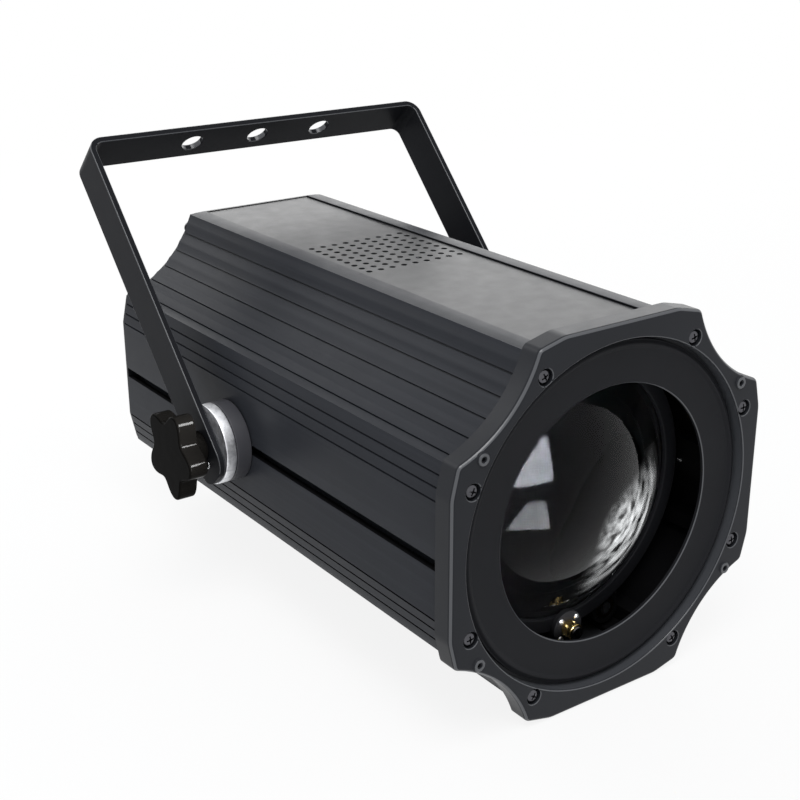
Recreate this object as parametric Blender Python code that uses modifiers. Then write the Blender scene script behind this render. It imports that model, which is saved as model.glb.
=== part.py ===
"""Zoom stage spotlight: a motorised lens in an extruded body, hung in a tilting yoke.

Metres, +Z up. Inside the fixture's own frame the optical axis is Y, the bezel's front face is
y = 0 and the rear is +Y. The empty "fixture" moves that frame so that the object stands on z = 0
with its middle over the origin.
"""

import bmesh
import bpy
from math import acos, atan2, cos, pi, radians, sin
from mathutils import Matrix, Vector

# Clearances
SEAT = 0.0003             # between pieces that touch or are screwed together
RUNNING = 0.0004          # round a shaft, a rod or a sliding piece

# Bezel: a cast octagon with concave corners
BEZEL_HALF = 0.1105       # optical axis to each flat
BEZEL_TIP = 0.0568        # middle of a flat to the corner's tip
BEZEL_CHAMFER_RUN = 0.017
BEZEL_CHAMFER_DROP = 0.0041
BEZEL_SAG = 0.0084        # how far each corner bows in
BEZEL_DEPTH = 0.013
BEZEL_EDGE = 0.0024       # rounding of the front outline
BEZEL_RIM = 0.0101        # flat to the round recess
RECESS_RADIUS = BEZEL_HALF - BEZEL_RIM
RECESS_DEPTH = 0.0083
LEDGE_DEPTH = 0.0079      # the ledge that backs the aperture plate
LEDGE_RADIUS = RECESS_RADIUS - LEDGE_DEPTH

# Bezel screws and bosses
SCREW_INSET = 0.0042      # tip of a top flat to a screw, along the flat
SCREW_DROP = 0.0189       # top flat to a screw
SCREW_NEAR = BEZEL_TIP - SCREW_INSET
SCREW_FAR = BEZEL_HALF - SCREW_DROP
SIDE_SCREW_INSET = 0.0154
SIDE_SCREW_DROP = 0.0136
SIDE_SCREW_NEAR = BEZEL_TIP - SIDE_SCREW_INSET
SIDE_SCREW_FAR = BEZEL_HALF - SIDE_SCREW_DROP
SCREW_HEAD_RADIUS = 0.0039
SCREW_HEAD_HEIGHT = 0.0024
HEAD_CROWN = 0.7          # share of a head's radius where its crown turns down
HEAD_CROWN_RISE = 0.9     # share of its height there
HEAD_RIM_RISE = 0.4       # share of its height at the rim
SCREW_SHANK_RADIUS = 0.0017
SCREW_LENGTH = 0.016
COUNTERBORE_RADIUS = 0.0047
COUNTERBORE_DEPTH = 0.0032
CROSS_WIDTH = 0.0008
CROSS_SPAN = 0.0042
CROSS_DEPTH = 0.0013
BOSS_DROP = 0.0190        # side flat to a boss
BOSS_PAST_TIP = 0.0009    # tip of a side flat to a boss, past the flat
BOSS_ACROSS = BEZEL_HALF - BOSS_DROP
BOSS_UP = BEZEL_TIP + BOSS_PAST_TIP
BOSS_RADIUS = 0.0043
BOSS_TOP_RADIUS = 0.0034
BOSS_HEIGHT = 0.0007
BOSS_HOLE_RADIUS = 0.0012
BOSS_HOLE_DEPTH = 0.004

# Lens
LENS_INSET = 0.0340       # bezel's flat to the lens rim
LENS_RADIUS = BEZEL_HALF - LENS_INSET
LENS_RIM_Y = 0.0390
LENS_SAG = 0.0285
LENS_EDGE = 0.0032

# Aperture plate in the recess
APERTURE_OVERLAP = 0.0024 # how far the plate covers the lens rim
APERTURE_RADIUS = LENS_RADIUS - APERTURE_OVERLAP
PLATE_FRONT = 0.0058
PLATE_GROOVE = 0.0020     # dark groove between the plate's rim and the recess
PLATE_RIM_RADIUS = RECESS_RADIUS - PLATE_GROOVE
PLATE_RIDGE_HEIGHT = 0.0013
PLATE_RIDGE_WIDTH = 0.0050
PLATE_RIDGE_INSET = 0.0004
PLATE_RIDGE_OUT = PLATE_RIM_RADIUS - PLATE_RIDGE_INSET
PLATE_RIDGE_IN = PLATE_RIDGE_OUT - PLATE_RIDGE_WIDTH
# The ridge's section: share of its width from its inner edge, share of its height
PLATE_RIDGE_SHAPE = ((0.0, 0.0), (0.3, 0.85), (0.7, 1.0), (0.875, 0.5))
PLATE_RIM_RISE = 0.4      # share of the ridge's height at the rim

# Body extrusions
BODY_LENGTH = 0.374       # bezel face to the rear panel's outer face
BODY_INSET = 0.0021       # bezel's flat to the body's side flat
BODY_SIDE = BEZEL_HALF - BODY_INSET
BODY_WALL = 0.0028
TIP_INSET = 0.0037        # bezel's tip to the body's, along a flat
TOP_TIP_DROP = 0.0091
TOP_TIP_X = BEZEL_TIP - TIP_INSET
TOP_TIP_Z = BEZEL_HALF - TOP_TIP_DROP
SIDE_TIP_DROP = 0.0042
SIDE_TIP_X = BODY_SIDE - SIDE_TIP_DROP
SIDE_TIP_Z = BEZEL_TIP - TIP_INSET
BODY_SAG = 0.0084
CORNER_PERIODS = 5.5      # weatherboard steps along a corner
GROOVE_WIDTH = 0.0011
GROOVE_DEPTH = 0.0011
GROOVE_FLOOR = 0.00077    # width of a groove's floor
RIDGE_HEIGHT = 0.0006
CORNER_INNER_NEAR = 0.0161  # top tip to the stretch of the arc that the inside follows
CORNER_INNER_FAR = 0.0044   # that stretch to the side tip
CORNER_INNER_STEPS = 5
SIDE_GROOVE_DROP = 0.0064 # body's side tip to the highest fine groove of the side band
SIDE_GROOVE_TOP = SIDE_TIP_Z - SIDE_GROOVE_DROP
SIDE_GROOVE_PITCH = 0.0066
SIDE_GROOVES = 3
LIP_X = 0.0414            # inner edge of the roof lip
LIP_DROP = 0.0082         # bezel's flat to the lip's top
LIP_Z = BEZEL_HALF - LIP_DROP
LEDGE_WIDTH = 0.0066      # shelf under the roof plate's edge
LEDGE_THICKNESS = 0.0026
LUG_WIDTH = 0.0086        # screw lugs along the extrusions
LUG_HOLE_RADIUS = 0.0020

# T-slot along each side
SLOT_Z = -0.00215
SLOT_WIDTH = 0.0064
SLOT_CAVITY_WIDTH = 0.0152
SLOT_CAVITY_DEPTH = 0.0066
SLOT_WALL = 0.0026

# Roof and floor plates
ROOF_DROP = 0.0011        # lip's top to the plate's outer face
ROOF_Z = LIP_Z - ROOF_DROP
ROOF_THICKNESS = 0.0015
VENT_COUNT = 9
VENT_RADIUS = 0.0020
VENT_PITCH_X = 0.0085
VENT_PITCH_Y = 0.0080
VENT_FIRST_Y = 0.1810
VENT_SIDES = 6

# Yoke, tilted back as in the photograph
PIVOT_Y = 0.2231
TILT = radians(43.3)
YOKE_THICKNESS = 0.0040
YOKE_WIDTH = 0.0300
YOKE_REACH = 0.2145       # pivot to the top bar's outer face
YOKE_BEND = 0.0100
YOKE_BEND_STEPS = 6
YOKE_TAIL = 0.0235        # how far the arms run past the pivot
YOKE_END_ROUND = 0.0110
YOKE_HOLE_RADIUS = 0.0075
YOKE_HOLE_PITCH = 0.0505
YOKE_EDGE = 0.0005

# Pivot stack on each side
DISC_RADIUS = 0.0248
DISC_EDGE = 0.0006
FRICTION_DISC_THICKNESS = 0.0099
CLAMP_DISC_THICKNESS = 0.0068
STUD_RADIUS = 0.0030
TBOLT_HEAD_LENGTH = 0.0200
TBOLT_HEAD_THICKNESS = 0.0050
DISC_SCREW_OUT = 0.0126   # pivot to the small screw that holds the clamp disc to the arm
DISC_SCREW_HEAD_RADIUS = 0.0024
DISC_SCREW_HEAD_HEIGHT = 0.0014
DISC_SCREW_SHANK_RADIUS = 0.0012
DISC_SCREW_SHORT = 0.0014 # what the screw leaves of the clamp disc's thickness
KNOB_RADIUS = 0.0284
KNOB_WAIST = 0.0196
KNOB_LOBES = 5
KNOB_LOBE_STEPS = 8
KNOB_THICKNESS = 0.0120
KNOB_HUB_RADIUS = 0.0098
KNOB_HUB_LENGTH = 0.0100
KNOB_PHASE = radians(13)  # first lobe's turn from straight up, towards the rear
KNOB_EDGE = 0.0016

# Lens carriage, at the front end of the zoom
LENS_HOLDER_WALL = 0.0075
LENS_HOLDER_DEPTH = 0.0100
LENS_SEAT_WIDTH = 0.0040
RETAINER_THICKNESS = 0.0026
RETAINER_OVERLAP = 0.0015
ROD_RADIUS = 0.0040
ROD_X = 0.0360
BUSHING_RADIUS = 0.0070
BUSHING_LENGTH = 0.0220
EAR_RADIUS = 0.0098
EAR_DEPTH = 0.0060
NUT_DROP = 0.0055         # lens rim to the lead nut's axis
NUT_FLANGE_RADIUS = 0.0105
NUT_FLANGE_THICKNESS = 0.0035
NUT_BARREL_RADIUS = 0.0051
NUT_BARREL_LENGTH = 0.0070
NUT_EDGE = 0.0004
SCREW_ROD_RADIUS = 0.0040
SCREW_ROD_PROUD = 0.0016  # how far the lead screw's tip stands out of the nut
LENS_TRAVEL = 0.1080

# Light engine
BULKHEAD_GAP = 0.0090     # left behind the bushings when the lens is fully back
BULKHEAD_THICKNESS = 0.0030
BULKHEAD_INSET = 0.0014   # slot's back wall to the bulkhead's rim
BULKHEAD_EAR_DEPTH = 0.0100
BULKHEAD_EAR_HALF = 0.0080
BULKHEAD_WINDOW = 0.0240
LED_HALF = 0.0160
LED_THICKNESS = 0.0025
LED_LENS_RADIUS = 0.0110
LED_LENS_HEIGHT = 0.0020
REFLECTOR_THROAT = 0.0130
REFLECTOR_MOUTH = 0.0280
REFLECTOR_LENGTH = 0.0150
REFLECTOR_WALL = 0.0015
REFLECTOR_FLANGE = 0.0300
REFLECTOR_FLANGE_THICKNESS = 0.00225
FAN_HALF = 0.0600
FAN_Z = 0.0050
SINK_HALF_WIDTH = FAN_HALF
SINK_BOTTOM = FAN_Z - FAN_HALF
SINK_TOP = FAN_Z + FAN_HALF
SINK_BASE = 0.0080
SINK_DEPTH = 0.0560
FIN_COUNT = 13
FIN_THICKNESS = 0.0022
MOTOR_HALF = 0.0168
MOTOR_LENGTH = 0.0320
MOTOR_EDGE = 0.0021
FAN_DEPTH = 0.0250
FAN_RIM = 0.0025
FAN_BORE = FAN_HALF - FAN_RIM
FAN_HUB_RADIUS = 0.0200
FAN_HUB_DEPTH = 0.0180
FAN_BLADES = 7
FAN_BLADE_ROOT = 0.0160
FAN_TIP_GAP = 0.0030
FAN_BLADE_REACH = FAN_BORE - FAN_TIP_GAP
FAN_BLADE_CHORD = 0.0189
FAN_BLADE_THICKNESS = 0.00175
FAN_BLADE_TWIST = radians(38)
FAN_SPOKE_WIDTH = 0.0060
FAN_SPOKE_DEPTH = 0.0035

# Power supply and controls
SUPPLY_HALF_WIDTH = 0.0460
SUPPLY_HEIGHT = 0.0420
SUPPLY_LENGTH = 0.0750
SUPPLY_GAP = 0.0010       # power supply to the sockets' inner ends
REAR_THICKNESS = 0.0020
REAR_INSET = 0.0006
WINDOW_HALF_WIDTH = 0.0260
WINDOW_HALF_HEIGHT = 0.0130
WINDOW_Z = 0.0480
WINDOW_THICKNESS = 0.0020
DISPLAY_MARGIN = 0.0010   # how far the display runs past the window
BOARD_HALF_WIDTH = 0.0520
BOARD_BOTTOM = 0.0020
BOARD_TOP = 0.0720
BOARD_THICKNESS = 0.0016
BOARD_SETBACK = 0.0120    # panel's inner face to the board
DISPLAY_DEPTH = 0.0090
BUTTON_COUNT = 4
BUTTON_PITCH = 0.0160
BUTTON_Z = 0.0180
BUTTON_RADIUS = 0.0040
BUTTON_PROUD = 0.0016
BUTTON_EDGE = 0.0008
BUTTON_EDGE_DROP = 0.0005
BUTTON_FLANGE_RADIUS = 0.0052
BUTTON_FLANGE_THICKNESS = 0.0010
BUTTON_TRAVEL = 0.0008
SWITCH_HALF = 0.0030
SOCKET_X = 0.0340         # sockets' offsets from the middle of the panel
DATA_Z = -0.0160
POWER_Z = -0.0560
SOCKET_FLANGE_X = 0.0130
SOCKET_FLANGE_Z = 0.0155
SOCKET_FLANGE_THICKNESS = 0.0022
SOCKET_BARREL_RADIUS = 0.0118
SOCKET_BARREL_LENGTH = 0.0180
DATA_BORE_RADIUS = 0.0085
POWER_BORE_RADIUS = 0.0100
SOCKET_BORE_DEPTH = 0.0150
FUSE_Z = -0.0360
FUSE_CAP_RADIUS = 0.0070
FUSE_CAP_PROUD = 0.0060
FUSE_CAP_EDGE = 0.0010
FUSE_BARREL_RADIUS = 0.0058
FUSE_BARREL_LENGTH = 0.0300

# Smoothness of round pieces
ROUND_LARGE = 40
ROUND_DISC = 32
ROUND_MEDIUM = 24
ROUND_SMALL = 12
ROUND_SCREW = 8
BEZEL_ARC_STEPS = 10
REAR_ARC_STEPS = 6
LENS_RINGS = 7

# Places that follow from the sizes above
REAR_INNER = BODY_LENGTH - REAR_THICKNESS
BODY_FRONT = BEZEL_DEPTH + SEAT
BODY_REAR = REAR_INNER - SEAT
PLATE_BACK = RECESS_DEPTH - SEAT
ROOF_UNDER = ROOF_Z - ROOF_THICKNESS
LEDGE_TOP = ROOF_UNDER - SEAT
SLOT_CAVITY_OUT = BODY_SIDE - BODY_WALL
SLOT_CAVITY_IN = SLOT_CAVITY_OUT - SLOT_CAVITY_DEPTH
SLOT_BACK = SLOT_CAVITY_IN - SLOT_WALL
FRICTION_DISC_IN = BODY_SIDE + SEAT
CLAMP_DISC_IN = FRICTION_DISC_IN + FRICTION_DISC_THICKNESS + SEAT
ARM_IN = CLAMP_DISC_IN + CLAMP_DISC_THICKNESS + SEAT
YOKE_OUTER = ARM_IN + YOKE_THICKNESS
STUD_HOLE_RADIUS = STUD_RADIUS + RUNNING
KNOB_IN = YOKE_OUTER + SEAT
KNOB_OUT = KNOB_IN + KNOB_HUB_LENGTH + KNOB_THICKNESS
LENS_HOLDER_RADIUS = LENS_RADIUS + LENS_HOLDER_WALL
DOME_RADIUS = LENS_RADIUS - RETAINER_OVERLAP - SEAT
NUT_Z = -LENS_RADIUS - NUT_DROP
ROD_Z = -LENS_HOLDER_RADIUS
RETAINER_BACK = LENS_RIM_Y - SEAT
RETAINER_FRONT = RETAINER_BACK - RETAINER_THICKNESS
NUT_BACK = RETAINER_FRONT - SEAT
NUT_TIP = NUT_BACK - NUT_FLANGE_THICKNESS - NUT_BARREL_LENGTH
BULKHEAD_Y = LENS_RIM_Y + BUSHING_LENGTH + LENS_TRAVEL + BULKHEAD_GAP
BULKHEAD_RADIUS = SLOT_BACK - BULKHEAD_INSET
SINK_FRONT = BULKHEAD_Y + BULKHEAD_THICKNESS + SEAT
SINK_BACK = SINK_FRONT + SINK_DEPTH
FAN_FRONT = SINK_BACK + SEAT
MOTOR_FRONT = SINK_FRONT
SUPPLY_BACK = BODY_LENGTH - SOCKET_BARREL_LENGTH - SUPPLY_GAP
SUPPLY_BOTTOM = SEAT + LEDGE_THICKNESS - LEDGE_TOP
BOARD_REAR = REAR_INNER - BOARD_SETBACK
FRONT_REACH = BOSS_HEIGHT
YOKE_BACK_REACH = PIVOT_Y + YOKE_REACH * sin(TILT) + YOKE_WIDTH / 2 * cos(TILT)
PANEL_BACK_REACH = BODY_LENGTH + SEAT + FUSE_CAP_PROUD
MIDDLE_Y = (max(YOKE_BACK_REACH, PANEL_BACK_REACH) - FRONT_REACH) / 2

# Rotations that turn a piece's own z to the front, or its own x and y to y and z
FACE_FRONT = (pi / 2, 0.0, 0.0)
SIDE_VIEW = Matrix(((0, 0, 1), (1, 0, 0), (0, 1, 0))).to_euler()


def clear_scene():
    for obj in list(bpy.data.objects):
        bpy.data.objects.remove(obj)


def new_collection(name, rendered):
    collection = bpy.data.collections.new(name)
    collection.hide_render = not rendered
    bpy.context.scene.collection.children.link(collection)
    return collection


clear_scene()
PARTS = new_collection("zoom_stage_spotlight", True)
CUTTERS = new_collection("cutters", False)


def new_empty(name, location, parent=None, rotation=(0.0, 0.0, 0.0)):
    empty = bpy.data.objects.new(name, None)
    empty.location = location
    empty.rotation_euler = rotation
    empty.empty_display_size = DISC_RADIUS
    empty.parent = parent
    PARTS.objects.link(empty)
    return empty


FIXTURE = new_empty("fixture", (0, -MIDDLE_Y, BEZEL_HALF))
YOKE_PIVOT = new_empty("yoke_pivot", (0, PIVOT_Y, SLOT_Z), FIXTURE, (-TILT, 0, 0))
LENS_SLIDE = new_empty("lens_slide", (0, LENS_RIM_Y, 0), FIXTURE)


def material(name, colour, roughness, metallic):
    found = bpy.data.materials.get(name)
    if found:
        return found
    made = bpy.data.materials.new(name)
    made.use_nodes = True
    shader = made.node_tree.nodes["Principled BSDF"]
    shader.inputs["Base Color"].default_value = (*colour, 1)
    shader.inputs["Roughness"].default_value = roughness
    shader.inputs["Metallic"].default_value = metallic
    return made


def painted():
    return material("charcoal_paint", (0.030, 0.032, 0.036), 0.45, 0.0)


def matt_black():
    return material("matt_black", (0.016, 0.016, 0.018), 0.7, 0.0)


def gloss_black():
    return material("gloss_black", (0.012, 0.012, 0.013), 0.2, 0.0)


def aluminium():
    return material("bare_aluminium", (0.78, 0.79, 0.80), 0.35, 1.0)


def steel():
    return material("steel", (0.55, 0.56, 0.58), 0.3, 1.0)


def black_steel():
    return material("blackened_steel", (0.03, 0.03, 0.032), 0.4, 0.8)


def brass():
    return material("brass", (0.72, 0.53, 0.22), 0.3, 1.0)


def glass():
    return material("lens_glass", (0.92, 0.96, 0.97), 0.05, 0.0)


def circuit():
    return material("circuit_board", (0.02, 0.10, 0.05), 0.5, 0.0)


def smooth(mesh, limit=radians(35)):
    mesh.shade_smooth()
    mesh.set_sharp_from_angle(angle=limit)


def place(name, mesh, finish, location=(0, 0, 0), rotation=(0, 0, 0), parent=None):
    """A sub-part; its location is in the frame of its parent, the fixture unless another is given."""
    obj = bpy.data.objects.new(name, mesh)
    obj.parent = parent or FIXTURE
    obj.location = location
    obj.rotation_euler = rotation
    obj.data.materials.append(finish)
    PARTS.objects.link(obj)
    return obj


def combine(target, mesh, operation="DIFFERENCE", location=(0, 0, 0), rotation=(0, 0, 0)):
    """Cuts a mesh out of the target, or joins it on; location and rotation are beside the target's."""
    tool = bpy.data.objects.new(target.name + "_tool", mesh)
    tool.parent = target.parent
    tool.location = location
    tool.rotation_euler = rotation
    tool.display_type = "WIRE"
    tool.hide_render = True
    CUTTERS.objects.link(tool)
    boolean = target.modifiers.new("boolean", "BOOLEAN")
    boolean.operation = operation
    boolean.object = tool
    boolean.solver = "EXACT"


def bevel(obj, width, limit=radians(40)):
    rounding = obj.modifiers.new("edges", "BEVEL")
    rounding.width = width
    rounding.segments = 1
    rounding.limit_method = "ANGLE"
    rounding.angle_limit = limit


def box_mesh(name, low, high):
    mesh = bpy.data.meshes.new(name)
    solid = bmesh.new()
    bmesh.ops.create_cube(solid, size=1)
    size = Vector(high) - Vector(low)
    middle = Matrix.Translation((Vector(high) + Vector(low)) / 2)
    bmesh.ops.transform(solid, matrix=middle @ Matrix.Diagonal((*size, 1)), verts=solid.verts)
    solid.to_mesh(mesh)
    solid.free()
    return mesh


def add_cylinder(solid, radius, bottom, top, sides, centre=(0.0, 0.0), top_radius=None):
    made = bmesh.ops.create_cone(
        solid,
        cap_ends=True,
        segments=sides,
        radius1=radius,
        radius2=radius if top_radius is None else top_radius,
        depth=top - bottom,
    )
    shift = Matrix.Translation((centre[0], centre[1], (bottom + top) / 2))
    bmesh.ops.transform(solid, matrix=shift, verts=made["verts"])


def cylinder_mesh(name, radius, bottom, top, sides=ROUND_MEDIUM, centres=((0.0, 0.0),), top_radius=None):
    """One or more upright cylinders of the same size that don't touch each other."""
    mesh = bpy.data.meshes.new(name)
    solid = bmesh.new()
    for centre in centres:
        add_cylinder(solid, radius, bottom, top, sides, centre, top_radius)
    solid.to_mesh(mesh)
    solid.free()
    smooth(mesh)
    return mesh


def profile_mesh(name, points, ring):
    """The edge chain that a Screw modifier turns: (radius, height), down the outer side."""
    mesh = bpy.data.meshes.new(name)
    count = len(points)
    edges = [(i, i + 1) for i in range(count - 1)]
    if ring:
        edges.append((count - 1, 0))
    mesh.from_pydata([(radius, 0, height) for radius, height in points], edges, [])
    return mesh


def turned(name, points, finish, location, rotation, sides, ring=False, parent=None):
    obj = place(name, profile_mesh(name, points, ring), finish, location, rotation, parent)
    screw = obj.modifiers.new("turn", "SCREW")
    screw.axis = "Z"
    screw.angle = 2 * pi
    screw.steps = sides
    screw.render_steps = sides
    screw.use_merge_vertices = True
    screw.merge_threshold = 0.00001
    screw.use_smooth_shade = True
    return obj


def flat_mesh(name, loops, thickness):
    """A flat piece of the given thickness about z = 0; the first outline is its edge, the rest are holes."""
    outline = bpy.data.curves.new(name + "_outline", "CURVE")
    outline.dimensions = "2D"
    outline.fill_mode = "BOTH"
    outline.extrude = thickness / 2
    for loop in loops:
        spline = outline.splines.new("POLY")
        spline.points.add(len(loop) - 1)
        for point, (x, y) in zip(spline.points, loop):
            point.co = (x, y, 0, 1)
        spline.use_cyclic_u = True
    guide = bpy.data.objects.new(name + "_outline", outline)
    CUTTERS.objects.link(guide)
    graph = bpy.context.evaluated_depsgraph_get()
    mesh = bpy.data.meshes.new_from_object(guide.evaluated_get(graph))
    mesh.materials.clear()
    solid = bmesh.new()
    solid.from_mesh(mesh)
    bmesh.ops.remove_doubles(solid, verts=solid.verts, dist=0.000001)
    bmesh.ops.recalc_face_normals(solid, faces=solid.faces)
    solid.to_mesh(mesh)
    solid.free()
    bpy.data.objects.remove(guide)
    smooth(mesh)
    return mesh


def circle(radius, sides, centre=(0.0, 0.0), turn=0.0):
    step = 2 * pi / sides
    return [
        (centre[0] + radius * cos(turn + i * step), centre[1] + radius * sin(turn + i * step))
        for i in range(sides)
    ]


def quarters(near, far):
    """The four places (+-near, +-far)."""
    return [(x * near, z * far) for x in (-1, 1) for z in (-1, 1)]


class CornerArc:
    """The arc between two points that bows towards the optical axis."""

    def __init__(self, start, end, sag):
        self.start = Vector(start)
        end = Vector(end)
        chord = end - self.start
        inward = Vector((chord.y, -chord.x)).normalized()
        if inward.dot(self.start) > 0:
            inward = -inward
        self.radius = (chord.length ** 2 / 4 + sag ** 2) / (2 * sag)
        self.centre = (self.start + end) / 2 - inward * (self.radius - sag)
        first = self.start - self.centre
        last = end - self.centre
        self.first_angle = atan2(first.y, first.x)
        self.sweep = atan2(first.cross(last), first.dot(last))
        self.length = abs(self.sweep) * self.radius

    def at(self, fraction, inward=0.0):
        """The point at a fraction of the arc, moved towards the optical axis."""
        angle = self.first_angle + fraction * self.sweep
        reach = self.radius + inward
        return tuple(self.centre + reach * Vector((cos(angle), sin(angle))))

    def points(self, segments, inward=0.0):
        return [self.at(i / segments, inward) for i in range(segments + 1)]


def mirrored_x(points):
    return [(-x, z) for x, z in reversed(points)]


def mirrored_z(points):
    return [(x, -z) for x, z in reversed(points)]


def bezel_outline():
    """The octagon with concave corners, clockwise from the top flat."""
    tip_drop = BEZEL_HALF - BEZEL_CHAMFER_DROP
    arc = CornerArc((BEZEL_TIP, tip_drop), (tip_drop, BEZEL_TIP), BEZEL_SAG)
    straight = BEZEL_TIP - BEZEL_CHAMFER_RUN
    quarter = [(straight, BEZEL_HALF), *arc.points(BEZEL_ARC_STEPS), (BEZEL_HALF, straight)]
    right = quarter + mirrored_z(quarter)
    return right + mirrored_x(right)


def stepped_corner():
    """The weatherboard corner of an extrusion: grooves with a low ridge midway between them."""
    arc = CornerArc((TOP_TIP_X, TOP_TIP_Z), (SIDE_TIP_X, SIDE_TIP_Z), BODY_SAG)
    period = 1 / CORNER_PERIODS
    half_groove = GROOVE_WIDTH / 2 / arc.length
    half_floor = GROOVE_FLOOR / 2 / arc.length
    points = [arc.at(0), arc.at(period / 2, -RIDGE_HEIGHT)]
    for number in range(1, int(CORNER_PERIODS) + 1):
        groove = number * period
        points.append(arc.at(groove - half_groove))
        points.append(arc.at(groove - half_floor, GROOVE_DEPTH))
        points.append(arc.at(groove + half_floor, GROOVE_DEPTH))
        points.append(arc.at(groove + half_groove))
        ridge = groove + period / 2
        if ridge < 1 - half_groove:
            points.append(arc.at(ridge, -RIDGE_HEIGHT))
    points.append(arc.at(1))
    return points


def side_band():
    """The grooved band between the corner's lower tip and the side flat."""
    lowest = SIDE_GROOVE_TOP - (SIDE_GROOVES - 1) * SIDE_GROOVE_PITCH
    slope = (BODY_SIDE - SIDE_TIP_X) / (SIDE_TIP_Z - lowest)
    half_groove = GROOVE_WIDTH / 2
    half_floor = GROOVE_FLOOR / 2
    points = []
    for number in range(SIDE_GROOVES):
        z = SIDE_GROOVE_TOP - number * SIDE_GROOVE_PITCH
        x = SIDE_TIP_X + slope * (SIDE_TIP_Z - z)
        points.append((x - slope * half_groove, z + half_groove))
        points.append((x - GROOVE_DEPTH, z + half_floor))
        points.append((x - GROOVE_DEPTH, z - half_floor))
        points.append((min(x + slope * half_groove, BODY_SIDE), z - half_groove))
    return points


def t_slot():
    """The T-slot's outline, from its upper mouth edge round the cavity to the lower one."""
    mouth = SLOT_WIDTH / 2
    cavity = SLOT_CAVITY_WIDTH / 2
    return [
        (BODY_SIDE, SLOT_Z + mouth),
        (SLOT_CAVITY_OUT, SLOT_Z + mouth),
        (SLOT_CAVITY_OUT, SLOT_Z + cavity),
        (SLOT_CAVITY_IN, SLOT_Z + cavity),
        (SLOT_CAVITY_IN, SLOT_Z - cavity),
        (SLOT_CAVITY_OUT, SLOT_Z - cavity),
        (SLOT_CAVITY_OUT, SLOT_Z - mouth),
        (BODY_SIDE, SLOT_Z - mouth),
    ]


def inner_quarter():
    """The inside of the upper half, from beside the slot up to the roof ledge's tip."""
    arc = CornerArc((TOP_TIP_X, TOP_TIP_Z), (SIDE_TIP_X, SIDE_TIP_Z), BODY_SAG)
    wall = BODY_WALL + GROOVE_DEPTH
    side = BODY_SIDE - BODY_WALL
    lug = LUG_WIDTH / 2
    ledge_tip = LIP_X - LEDGE_WIDTH
    ledge_under = LEDGE_TOP - LEDGE_THICKNESS
    near = CORNER_INNER_NEAR / arc.length
    far = 1 - CORNER_INNER_FAR / arc.length
    step = (near - far) / CORNER_INNER_STEPS
    curve = [arc.at(far + i * step, wall) for i in range(CORNER_INNER_STEPS + 1)]
    return [
        (side, SIDE_SCREW_NEAR - lug),
        (SIDE_SCREW_FAR - lug, SIDE_SCREW_NEAR - lug),
        (SIDE_SCREW_FAR - lug, SIDE_SCREW_NEAR + lug),
        *curve,
        (SCREW_NEAR - lug, SCREW_FAR - lug),
        (SCREW_NEAR - lug, ledge_under),
        (ledge_tip, ledge_under),
        (ledge_tip, LEDGE_TOP),
        (LIP_X, LEDGE_TOP),
    ]


def body_outline():
    """Cross-section of the right-hand extrusion, in x and z, with its four screw holes."""
    upper = [(LIP_X, LIP_Z), *stepped_corner(), *side_band()]
    lower = mirrored_z(upper)
    inner = inner_quarter()
    channel = SLOT_CAVITY_WIDTH / 2 + SLOT_WALL
    side = BODY_SIDE - BODY_WALL
    around_slot = [
        (side, SLOT_Z - channel),
        (SLOT_BACK, SLOT_Z - channel),
        (SLOT_BACK, SLOT_Z + channel),
        (side, SLOT_Z + channel),
    ]
    edge = upper + t_slot() + lower + mirrored_z(inner) + around_slot + inner
    screws = [
        (x, z * height)
        for x, height in ((SCREW_NEAR, SCREW_FAR), (SIDE_SCREW_FAR, SIDE_SCREW_NEAR))
        for z in (-1, 1)
    ]
    return [edge] + [circle(LUG_HOLE_RADIUS, ROUND_SMALL, centre) for centre in screws]


def rear_outline():
    """The rear panel's edge: the body's outline drawn in a little, without grooves."""
    arc = CornerArc((TOP_TIP_X, TOP_TIP_Z), (SIDE_TIP_X, SIDE_TIP_Z), BODY_SAG)
    lowest = SIDE_GROOVE_TOP - (SIDE_GROOVES - 1) * SIDE_GROOVE_PITCH
    quarter = [
        (LIP_X, LIP_Z - REAR_INSET),
        *arc.points(REAR_ARC_STEPS, REAR_INSET + RIDGE_HEIGHT),
        (BODY_SIDE - REAR_INSET, lowest),
    ]
    right = quarter + mirrored_z(quarter)
    return right + mirrored_x(right)


def screw_places():
    """The bezel's eight screws, as (x, z)."""
    return quarters(SCREW_NEAR, SCREW_FAR) + quarters(SIDE_SCREW_FAR, SIDE_SCREW_NEAR)


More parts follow.
